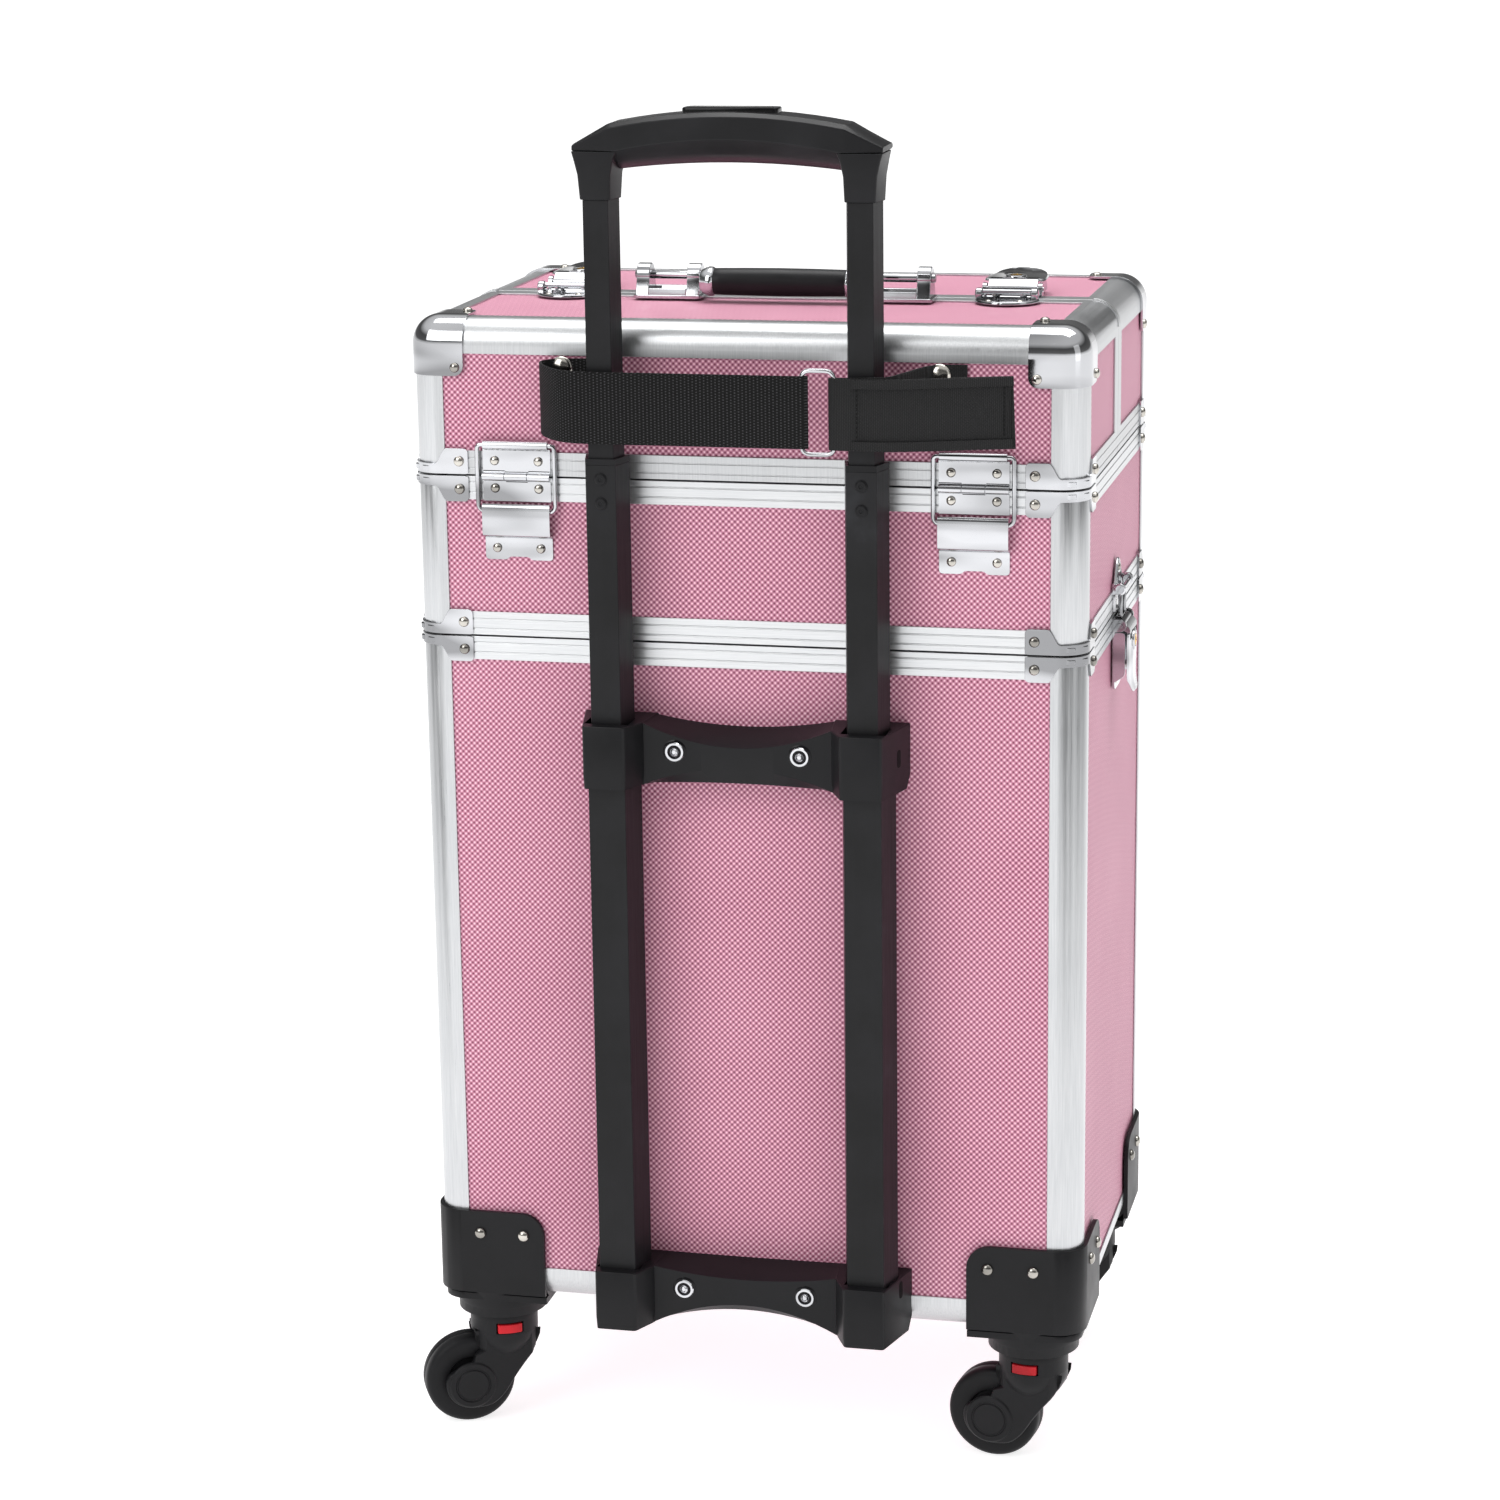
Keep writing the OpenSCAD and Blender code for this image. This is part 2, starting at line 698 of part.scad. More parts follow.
lever_u = -5;
lever_w = 4.2;
lever_pin = 1.5;
lever_end = -41;
rod_w = 3.2;
rod_r = 1.1;

// Catch plate, oval on top and pointed on the sides
module catch_2d(pointed) {
    if (pointed)
        polygon([[0, -13], [11, -13], [19, -9.5], [25, -5], [28.5, -1], [28.5, 1], [25, 5],
                 [19, 9.5], [11, 13], [0, 13]]);
    else intersection() {
        union() {
            translate([0, -14]) square([12, 28]);
            translate([11, 0]) circle(17);
        }
        translate([0, -17]) square([28, 34]);
    }
}

module latch_catch(pointed) {
    translate([1.2, 0, 0]) linear_extrude(1.2) catch_2d(pointed);
    for (v = [-15.6, 12.6]) translate([11.5, v, 0]) cube([5, 3, 6.8]);
    translate([14, -13, 5.2]) rotate([-90, 0, 0]) cylinder(r = 1.2, h = 26);
    for (v = pointed ? [0] : [-9, 9]) rivet_z(23, v, 1.2, 2);
}

// Base plate with the lever's ears and the two draw rods
module latch_base() {
    translate([lever_end, -13, 0]) cube([-1.2 - lever_end, 26, 1.2]);
    for (v = [-15.4, 13.2]) difference() {
        translate([lever_u - 3.5, v, 0]) cube([7, 2.2, 7.4]);
        translate([lever_u, v - 1, lever_w]) rotate([-90, 0, 0])
            cylinder(r = lever_pin + pin_fit, h = 5);
    }
    for (v = [-15.4, 12.9]) translate([lever_u - 3.5, v, 0]) cube([7, 2.5, 1.2]);
    translate([-2.2, -9, 0]) cube([1, 18, 4.3]);
    for (v = [-7, 7]) translate([-2.2, v, rod_w]) rotate([0, 90, 0]) cylinder(r = rod_r, h = 14.2);
    for (v = [-8, 8]) rivet_z(-36, v, 1.2, 2);
}

// Lever: a barrel on its pin, the cover plate and its lip
module latch_lever() color(chrome) {
    translate([0, -12.8, 0]) mirror([0, 1, 0]) rotate([90, 0, 0]) linear_extrude(25.6)
        translate([lever_u, lever_w]) {
            circle(2.5);
            polygon([[-0.5, 2.4], [-2.5, 5], [-8, 5], [-8, 3.4], [-4, 3.4], [-2.4, -0.5]]);
        }
    translate([0, -15.8, 0]) mirror([0, 1, 0]) rotate([90, 0, 0]) linear_extrude(31.6)
        translate([0, lever_w]) polygon([[-9.5, 3.4], [-9.5, 5], [lever_end + 4, 5],
            [lever_end, 8], [lever_end, 6.2], [lever_end + 4.6, 3.4]]);
    translate([lever_u, -15.2, lever_w]) rotate([-90, 0, 0]) cylinder(r = lever_pin, h = 30.4);
    translate([-12, 0, lever_w + 5]) difference() {
        cylinder(r = 3.4, h = 0.8);
        translate([-0.5, -2, 0.3]) cube([1, 4, 1]);
    }
}

module latch_catches() color(chrome) {
    for (x = [-latch_x, latch_x]) on_top(x) latch_catch(false);
    for (s = [-1, 1]) on_side(s) latch_catch(true);
}
module side_latch_bases() color(chrome) for (s = [-1, 1]) on_side(s) latch_base();
module side_latch_right() on_side(1) latch_lever();
module side_latch_left() on_side(-1) latch_lever();
module top_latch_bases() color(chrome) for (x = [-latch_x, latch_x]) on_top(x) latch_base();
module top_latch(x) {
    color(chrome) on_top(x) latch_lever();
}
module top_latch_left() top_latch(-latch_x);
module top_latch_right() top_latch(latch_x);

// ---- trays
tray_x = 152;
tray_y = [8, 83];
tray_z = [474, 506];
arm_b = [[26, 495], [10, 479]];

module tray() {
    difference() {
        translate([-tray_x, tray_y[0], tray_z[0]])
            cube([2 * tray_x, tray_y[1] - tray_y[0], tray_z[1] - tray_z[0]]);
        for (i = [0:3]) translate([-tray_x + 2 + i * (tray_x * 2 - 2) / 4, tray_y[0] + 2, tray_z[0] + 2])
            cube([(tray_x * 2 - 2) / 4 - 2, tray_y[1] - tray_y[0] - 4, 50]);
    }
    both_x() for (b = arm_b) translate([tray_x, b[0], b[1]]) rotate([0, 90, 0])
        cylinder(r = 1.5, h = 6);
}

// Arms on both sides from the tray's studs at b to the wall's studs
module arms(b) both_x() translate([tray_x + 2.4, b[0], b[1]])
    rotate([-tray_tilt, 0, 0]) rotate([90, 0, 90]) linear_extrude(1.6) difference() {
        union() {
            translate([0, -3]) square([tray_l, 6]);
            for (y = [0, tray_l]) translate([y, 0]) circle(4);
        }
        for (y = [0, tray_l]) translate([y, 0]) circle(1.5 + pin_fit);
    }

module front_tray() color("black") at_case() tray();
module tray_arms_front() color(chrome) at_case() arms(arm_b[0]);
module tray_arms_rear() color(chrome) at_case() arms(arm_b[1]);
module rear_tray() color("black") at_case() rear() {
    tray();
    for (b = arm_b) arms(b);
}

// ---- casters
module at_caster(c) at_case() translate([c[0] * stem_x, c[1] * stem_y, 0])
    rotate([0, 0, c[2]]) children();

module fork() color(black) {
    difference() {
        union() {
            translate([0, 0, 51]) cylinder(r = stem_r, h = fork_top - 51);
            translate([0, 0, fork_top - 1]) cylinder(r = 5, h = 7);
            for (y = [-13, 9]) translate([0, y + 4, 0]) rotate([90, 0, 0]) linear_extrude(4) {
                translate([-trail, wheel_r]) circle(12.5);
                polygon([[-12, 52], [-trail - 8, wheel_r + 9], [-trail + 4, wheel_r - 12],
                         [-trail + 11, wheel_r - 6], [4, wheel_r + 12], [13, 44], [14, 52]]);
            }
        }
        translate([-trail, 9, wheel_r]) rotate([90, 0, 0]) cylinder(r = wheel_r + 1.6, h = 18);
        translate([-7, -stem_r - 1, tab_low - 0.5]) cube([14, 8, 6.2]);
    }
    translate([-trail, 12.8, wheel_r]) rotate([90, 0, 0]) cylinder(r = axle_r, h = 25.6);
}

module wheel() color("black") translate([-trail, 0, wheel_r]) rotate([90, 0, 0])
    rotate_extrude($fn = 72) difference() {
        union() {
            translate([axle_r + pin_fit, -wheel_w / 2])
                square([wheel_r - 4 - axle_r - pin_fit, wheel_w]);
            translate([wheel_r - 4, -wheel_w / 2 + 4]) square([4, wheel_w - 8]);
            for (y = [-1, 1]) translate([wheel_r - 4, y * (wheel_w / 2 - 4)]) circle(4);
        }
        for (y = [-1, 1]) translate([14, y * (wheel_w / 2 + 1.5) - 2]) square([4, 4]);
    }

tab_low = 52.3;

module tab() color("red") translate([-6.5, -stem_r - 0.6, tab_low]) cube([13, 5, 5.2]);

module fork_rear_left() at_caster(casters[0]) fork();
module fork_rear_right() at_caster(casters[1]) fork();
module fork_front_left() at_caster(casters[2]) fork();
module fork_front_right() at_caster(casters[3]) fork();
module wheel_rear_left() at_caster(casters[0]) wheel();
module wheel_rear_right() at_caster(casters[1]) wheel();
module wheel_front_left() at_caster(casters[2]) wheel();
module wheel_front_right() at_caster(casters[3]) wheel();
module tab_rear_left() at_caster(casters[0]) tab();
module tab_rear_right() at_caster(casters[1]) tab();
module tab_front_left() at_caster(casters[2]) tab();
module tab_front_right() at_caster(casters[3]) tab();

trunk_panels();
trunk_frame();
trunk_rim();
trunk_corner_plates();
trunk_liner();
caster_brackets();
outer_tubes();
middle_bracket();
bottom_bracket();
trunk_fasteners();
side_latch_bases();
side_latch_right();
side_latch_left();
fork_rear_left();
fork_rear_right();
fork_front_left();
fork_front_right();
wheel_rear_left();
wheel_rear_right();
wheel_front_left();
wheel_front_right();
tab_rear_left();
tab_rear_right();
tab_front_left();
tab_front_right();
mid_tubes();
mid_tube_caps();
inner_tubes();
grip();
release_button();
tier_panels();
tier_frame();
tier_rims();
tier_fittings();
tier_liner();
rear_lid_panels();
rear_lid_frame();
rear_lid_corners();
rear_hinges();
rear_bails();
front_hinge_bases();
strap_left();
strap_right();
strap_ring();
handle_brackets();
latch_catches();
rear_tray();
carry_handle();
carry_grip();
front_lid_panels();
front_lid_frame();
front_lid_corners();
front_hinge_leaves();
front_bails();
front_tray();
tray_arms_front();
tray_arms_rear();
top_latch_bases();
top_latch_left();
top_latch_right();
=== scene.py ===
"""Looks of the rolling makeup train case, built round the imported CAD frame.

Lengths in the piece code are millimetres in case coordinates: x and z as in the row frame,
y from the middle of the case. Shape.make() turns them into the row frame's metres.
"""
import json
import math

import bmesh
import bpy
from mathutils import Matrix, Vector


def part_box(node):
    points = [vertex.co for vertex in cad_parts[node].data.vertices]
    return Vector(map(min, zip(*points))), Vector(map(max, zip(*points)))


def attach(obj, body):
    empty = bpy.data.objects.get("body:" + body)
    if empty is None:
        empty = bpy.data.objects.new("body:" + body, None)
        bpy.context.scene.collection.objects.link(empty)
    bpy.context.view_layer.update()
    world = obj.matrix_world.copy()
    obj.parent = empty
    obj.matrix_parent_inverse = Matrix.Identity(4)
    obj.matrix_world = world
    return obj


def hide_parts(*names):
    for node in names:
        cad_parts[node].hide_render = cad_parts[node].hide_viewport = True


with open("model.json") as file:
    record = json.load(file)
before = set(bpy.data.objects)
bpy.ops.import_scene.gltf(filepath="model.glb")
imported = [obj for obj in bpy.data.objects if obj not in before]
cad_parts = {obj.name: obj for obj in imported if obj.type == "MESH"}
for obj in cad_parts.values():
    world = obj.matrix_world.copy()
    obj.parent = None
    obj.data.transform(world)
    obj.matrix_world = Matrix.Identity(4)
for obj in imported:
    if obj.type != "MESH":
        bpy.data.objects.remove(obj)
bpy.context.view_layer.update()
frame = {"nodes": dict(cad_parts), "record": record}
nodes = frame["nodes"]
scene = bpy.context.scene
MM = 0.001


def span(node, axis):
    """Lowest and highest millimetre of a CAD node along axis 0, 1 or 2."""
    lo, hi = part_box(node)
    return lo[axis] / MM, hi[axis] / MM


# ---- places read from the frame
CASE_Y = sum(span("trunk_frame", 1)) / 2
HALF_W = span("trunk_frame", 0)[1]
HALF_D = span("trunk_frame", 1)[1] - CASE_Y
CASE_TOP = span("top_latch_bases", 2)[0]
SEAM_LOW = (span("trunk_rim", 2)[1] + span("tier_rims", 2)[0]) / 2
SEAM_HIGH = (span("tier_rims", 2)[1] + span("rear_lid_frame", 2)[0]) / 2
POST_R = 13
PIVOTS = {j["name"]: j for j in frame["record"]["behaviour"]["joints"]}


# ---- camera at the reference viewing angle
AZIMUTH, ELEVATION, ROLL = 13.16, 13.95, -0.77
LENS = 92.54
CAMERA_AT = (0.4285, CASE_Y * MM - 1.9388, 0.8448)


def make_camera():
    azimuth, elevation, roll = (math.radians(a) for a in (AZIMUTH, ELEVATION, ROLL))
    back = Vector((math.sin(azimuth) * math.cos(elevation),
                   -math.cos(azimuth) * math.cos(elevation), math.sin(elevation)))
    right = Vector((0, 0, 1)).cross(back).normalized()
    up = back.cross(right)
    side = right * math.cos(roll) + up * math.sin(roll)
    top = up * math.cos(roll) - right * math.sin(roll)
    data = bpy.data.cameras.new("camera")
    data.sensor_width = 36
    data.lens = LENS
    camera = bpy.data.objects.new("camera", data)
    camera.matrix_world = Matrix((side, top, back)).transposed().to_4x4()
    camera.location = CAMERA_AT
    scene.collection.objects.link(camera)
    scene.camera = camera


make_camera()


# ---- node helpers
class Nodes:
    """A small builder of node trees, for a new material or for the world."""

    def __init__(self, name, owner=None):
        self.material = owner or bpy.data.materials.new(name)
        self.material.use_nodes = True
        self.tree = self.material.node_tree
        self.shader = self.tree.nodes["Background" if owner else "Principled BSDF"]

    def feed(self, socket, value):
        """Gives a socket a number or colour, or a link from another socket."""
        if isinstance(value, (int, float, tuple)):
            socket.default_value = value
        else:
            self.tree.links.new(value, socket)

    def fill(self, node, **values):
        """Feeds a node's inputs by name."""
        for key, value in values.items():
            self.feed(node.inputs[key.replace("_", " ")], value)

    def set(self, **values):
        self.fill(self.shader, **values)
        return self

    def new(self, kind, **values):
        node = self.tree.nodes.new("ShaderNode" + kind)
        self.fill(node, **values)
        return node

    def math(self, operation, *values):
        node = self.new("Math")
        node.operation = operation
        for socket, value in zip(node.inputs, values):
            self.feed(socket, value)
        return node.outputs[0]

    def coords(self, output="Object"):
        return self.new("TexCoord").outputs[output]

    def split(self, vector):
        return self.new("SeparateXYZ", Vector=vector).outputs

    def scaled(self, *scale):
        return self.new("Mapping", Vector=self.coords(), Scale=scale).outputs[0]

    def noise(self, vector, scale, detail, rough=0.55):
        return self.new("TexNoise", Vector=vector, Scale=scale, Detail=detail,
                        Roughness=rough).outputs[0]

    def ramp(self, value, *stops):
        node = self.new("ValToRGB", Fac=value)
        elements = node.color_ramp.elements
        while len(elements) < len(stops):
            elements.new(0.5)
        for element, (place, colour) in zip(elements, stops):
            element.position = place
            element.color = colour if isinstance(colour, tuple) else (colour, colour, colour, 1)
        return node.outputs[0]

    def bump(self, height, distance, strength):
        self.set(Normal=self.new("Bump", Height=height, Distance=distance,
                                 Strength=strength).outputs[0])


def rgb(r, g, b):
    """sRGB 0 to 255 as a linear colour."""
    return tuple((c / 255 / 12.92 if c < 10.3 else ((c / 255 + 0.055) / 1.055) ** 2.4)
                 for c in (r, g, b)) + (1,)


# ---- materials
LATTICE = 3 * MM


def laminate():
    """Pink laminate embossed with a lattice of small pyramids on every face, its colour painted with
    shade in the grooves and highlight on the pyramid tops.
    """
    n = Nodes("pink_laminate")
    pitch = 2 * math.pi / LATTICE
    waves = [n.math("COSINE", n.math("MULTIPLY", c, pitch)) for c in n.split(n.coords())]
    faces = [n.math("POWER", n.math("ABSOLUTE", c), 2) for c in n.split(n.coords("Normal"))]
    pairs = ((1, 2), (0, 2), (0, 1))
    parts = [n.math("MULTIPLY", n.math("MULTIPLY", waves[i], waves[j]), face)
             for face, (i, j) in zip(faces, pairs)]
    height = n.math("ADD", n.math("ADD", parts[0], parts[1]), parts[2])
    level = n.math("MULTIPLY_ADD", height, 0.5, 0.5)
    drift = n.noise(n.coords(), 9, 2)
    # painted shade and painted highlight: the colour follows the relief, dark in the grooves between
    # the pyramids and near white on their tops, plus a random drift
    shade = n.math("MULTIPLY_ADD", drift, 0.14, n.math("MULTIPLY", level, 0.86))
    tone = n.ramp(shade, (0.05, rgb(98, 44, 62)), (0.34, rgb(186, 118, 142)),
                  (0.6, rgb(208, 141, 165)), (0.88, rgb(255, 212, 226)))
    n.bump(n.ramp(level, (0.0, 0.0), (0.9, 1.0)), 0.25 * MM, 0.8)
    return n.set(Base_Color=tone, Roughness=n.ramp(level, (0, 0.6), (1, 0.38)),
                 Specular_IOR_Level=0.18).material


def aluminium(name, along, tone):
    """Satin aluminium, brushed along one axis."""
    n = Nodes(name)
    stretch = [260, 260, 260]
    stretch[along] = 6
    streaks = n.noise(n.scaled(*stretch), 6, 4, 0.7)
    cloud = n.noise(n.coords(), 14, 3)
    mixed = n.math("MULTIPLY_ADD", streaks, 0.7, n.math("MULTIPLY", cloud, 0.3))
    metal = n.ramp(mixed, (0.3, rgb(tone - 16, tone - 14, tone - 12)),
                   (0.7, rgb(tone + 12, tone + 13, tone + 14)))
    n.bump(streaks, 0.03 * MM, 0.5)
    return n.set(Base_Color=metal, Roughness=n.ramp(mixed, (0.3, 0.26), (0.7, 0.42)),
                 Metallic=1.0).material


def chrome(name="chrome", colour=(203, 204, 207), rough=(0.05, 0.14)):
    """Polished plate with painted reflection: its colour darkens in broad patches for dark surroundings
    mirrored in it, with faint handling haze.
    """
    n = Nodes(name)
    haze = n.noise(n.coords(), 60, 4, 0.6)
    # painted reflection: stretched noise darkens the plate's colour in broad bands, as dark
    # surroundings would show in it; shared by nickel and brass
    cloud = n.noise(n.scaled(0.4, 0.4, 1.6), 40, 1, 0.5)
    tones = [rgb(*(c * share for c in colour)) for share in (0.7, 0.92, 1)]
    n.bump(n.noise(n.coords(), 400, 2), 0.01 * MM, 0.3)
    return n.set(Base_Color=n.ramp(cloud, *zip((0.36, 0.5, 0.62), tones)),
                 Roughness=n.ramp(haze, *zip((0.35, 0.75), rough)), Metallic=1.0).material


def moulded(name, colour, rough, grain, scale):
    """Moulded plastic or rubber with a fine grain and uneven sheen."""
    n = Nodes(name)
    fine = n.noise(n.coords(), scale, 3, 0.6)
    broad = n.noise(n.coords(), 30, 3)
    low = rgb(*(max(c * 0.82, 2) for c in colour))
    high = rgb(*(c * 1.12 + 2 for c in colour))
    sheen = n.ramp(broad, (0.3, rough - 0.06), (0.7, rough + 0.06))
    n.bump(fine, grain * MM, 0.6)
    return n.set(Base_Color=n.ramp(broad, (0.3, low), (0.75, high)), Roughness=sheen,
                 Specular_IOR_Level=0.2).material


def anodised():
    """Black anodised tube with faint drawing lines and rubbed patches."""
    n = Nodes("black_anodised")
    lines = n.noise(n.scaled(300, 300, 4), 5, 4, 0.65)
    rubbed = n.noise(n.coords(), 22, 5, 0.6)
    black = n.ramp(rubbed, (0.35, rgb(22, 22, 23)), (0.62, rgb(29, 29, 31)), (0.8, rgb(44, 45, 48)))
    n.bump(lines, 0.02 * MM, 0.5)
    return n.set(Base_Color=black, Roughness=n.ramp(lines, (0.3, 0.34), (0.7, 0.5)),
                 Specular_IOR_Level=0.2).material


def webbing(name, column, row, tones, rough=0.8):
    """Black webbing: raised yarn ends in staggered columns, sizes in millimetres, coloured with painted
    shade in the hollows and painted highlight on the yarn tops.
    """
    n = Nodes(name)
    x, y, z = n.split(n.coords())
    run = n.math("MULTIPLY", n.math("SUBTRACT", x, y), 1 / (column * MM))
    shift = n.math("MULTIPLY", n.math("FLOOR", run), 0.5)
    rise = n.math("MULTIPLY_ADD", z, 1 / (row * MM), shift)
    waves = [n.math("SINE", n.math("MULTIPLY", n.math("FRACT", c), math.pi)) for c in (run, rise)]
    height = n.math("MULTIPLY", *waves)
    fuzz = n.noise(n.coords(), 1800, 3, 0.7)
    mixed = n.math("MULTIPLY_ADD", fuzz, 0.3, n.math("MULTIPLY", height, 0.72))
    # painted shade and painted highlight: tones run from near black in the weave's hollows to grey on
    # the yarn tops, with random fuzz
    colours = [rgb(t, t, t * 1.03) for t in tones]
    n.bump(mixed, 0.35 * MM, 0.9)
    return n.set(Base_Color=n.ramp(mixed, *zip((0.15, 0.6, 0.86), colours)), Roughness=rough,
                 Specular_IOR_Level=0.25).material


def velvet():
    """Black flocked lining with a soft sheen."""
    n = Nodes("black_lining")
    nap = n.noise(n.coords(), 700, 4, 0.7)
    n.bump(nap, 0.2 * MM, 0.7)
    return n.set(Base_Color=n.ramp(nap, (0.3, rgb(16, 15, 17)), (0.8, rgb(38, 36, 40))),
                 Roughness=0.95, Sheen_Weight=0.4, Sheen_Roughness=0.5).material


PINK = laminate()
ALU_Z = aluminium("aluminium_posts", 2, 196)
ALU_X = aluminium("aluminium_bands", 0, 214)
CHROME = chrome()
NICKEL = chrome("nickel_rivets", (200, 196, 188), (0.12, 0.24))
BRASS = chrome("brass_keyhole", (214, 168, 70), (0.15, 0.3))
TUBE = anodised()
PLASTIC = moulded("black_moulding", (22, 22, 24), 0.42, 0.03, 1300)
GRIP = moulded("grip_moulding", (23, 23, 25), 0.36, 0.02, 1600)
GLOSS = moulded("black_button", (16, 16, 18), 0.16, 0.004, 200)
RUBBER = moulded("black_tread", (22, 22, 24), 0.5, 0.03, 1100)
RED = moulded("red_moulding", (190, 28, 38), 0.3, 0.01, 600)
# webbing tones: painted shade in the weave's hollows up to painted highlight on the yarn tops
WEB = webbing("black_webbing", 1.9, 1.4, (3, 6, 62))
FLAP = webbing("black_twill", 0.9, 0.7, (10, 19, 52), 0.55)
LINING = velvet()
# painted shadow: near-black matte for the shade inside the collars' key slots
SLOT_SHADOW = moulded("painted_slot_shadow", (7, 7, 8), 0.8, 0.01, 600)
TRAY = moulded("black_tray", (34, 33, 36), 0.7, 0.06, 900)

PANELS = ("trunk_panels", "tier_panels", "rear_lid_panels", "front_lid_panels")
CAD_LOOKS = {
    PINK: PANELS,
    ALU_Z: ("trunk_frame", "tier_frame", "rear_lid_frame", "front_lid_frame"),
    ALU_X: ("trunk_rim", "tier_rims"),
    LINING: ("trunk_liner", "tier_liner"),
    TUBE: ("outer_tubes", "mid_tubes", "inner_tubes"),
    TRAY: ("front_tray", "rear_tray"),
    PLASTIC: ("caster_brackets", "middle_bracket", "bottom_bracket", "mid_tube_caps"),
    GRIP: ("grip", "carry_grip"),
    GLOSS: ("release_button",),
    WEB: ("strap_left",),
    FLAP: ("strap_right",),
}


def ease(piece, width, angle):
    """Rounds a piece's edges that are sharper than the angle."""
    edge = piece.modifiers.new("edge", "BEVEL")
    edge.width = width * MM
    edge.segments = 2
    edge.limit_method = "ANGLE"
    edge.angle_limit = math.radians(angle)
    edge.harden_normals = True


def dress(node, material):
    """Gives a CAD node its material, and eases its edges unless it is a wall panel."""
    piece = nodes[node]
    piece.data.materials.clear()
    piece.data.materials.append(material)
    if node not in PANELS:
        weld = piece.modifiers.new("weld", "WELD")
        weld.merge_threshold = 0.005 * MM
        ease(piece, 0.4, 40)


looks = {name: material for material, names in CAD_LOOKS.items() for name in names}
for name in nodes:
    if name.startswith("fork"):
        looks[name] = PLASTIC
    elif name.startswith("wheel"):
        looks[name] = RUBBER
    elif name.startswith("tab"):
        looks[name] = RED
    dress(name, looks.get(name, CHROME))


# ---- mesh building
def arc(cx, cy, r, start, end, steps):
    """Points on an arc, angles in degrees."""
    return [(cx + r * math.cos(math.radians(start + (end - start) * i / steps)),
             cy + r * math.sin(math.radians(start + (end - start) * i / steps)))
            for i in range(steps + 1)]


def rounded(points, radius, steps=4):
    """A closed outline with its corners rounded; radius is one number or one per corner."""
    out = []
    count = len(points)
    for i, point in enumerate(points):
        r = radius[i] if isinstance(radius, (list, tuple)) else radius
        here, before, after = (Vector(points[j % count]) for j in (i, i - 1, i + 1))
        a, b = (before - here).normalized(), (after - here).normalized()
        reach = min(r, (before - here).length * 0.49, (after - here).length * 0.49)
        for k in range(steps + 1):
            t = k / steps
            spot = here + a * reach * (1 - t) ** 2 + b * reach * t ** 2
            out.append(tuple(spot))
    return out


def smooth(points, steps):
    """An open path through the points, rounded by Catmull-Rom spans."""
    p = [Vector(q) for q in points]
    p = [p[0] * 2 - p[1]] + p + [p[-1] * 2 - p[-2]]
    out = []
    for i in range(1, len(p) - 2):
        for k in range(steps):
            t = k / steps
            out.append(0.5 * (2 * p[i] + (p[i + 1] - p[i - 1]) * t
                              + (2 * p[i - 1] - 5 * p[i] + 4 * p[i + 1] - p[i + 2]) * t ** 2
                              + (3 * p[i] - p[i - 1] - 3 * p[i + 1] + p[i + 2]) * t ** 3))
    return out + [p[-2]]


def place(origin, right, up):
    """Matrix that puts local x along right, y along up and z along their cross product."""
    right, up = Vector(right).normalized(), Vector(up).normalized()
    m = Matrix((right, up, right.cross(up))).transposed().to_4x4()
    m.translation = Vector(origin)
    return m


def rect(x1, y1, x2, y2):
    """Corners of an upright rectangle."""
    return [(x1, y1), (x2, y1), (x2, y2), (x1, y2)]


def pin(r, low, high):
    """Lathe profile of a plain pin."""
    return [(0.01, low), (r, low), (r, high), (0.01, high)]


# right and up of outlines drawn on the rear, on the top, and across x
REAR = ((1, 0, 0), (0, 0, 1))
TOP = ((1, 0, 0), (0, 1, 0))
CROSS = ((0, 1, 0), (0, 0, 1))


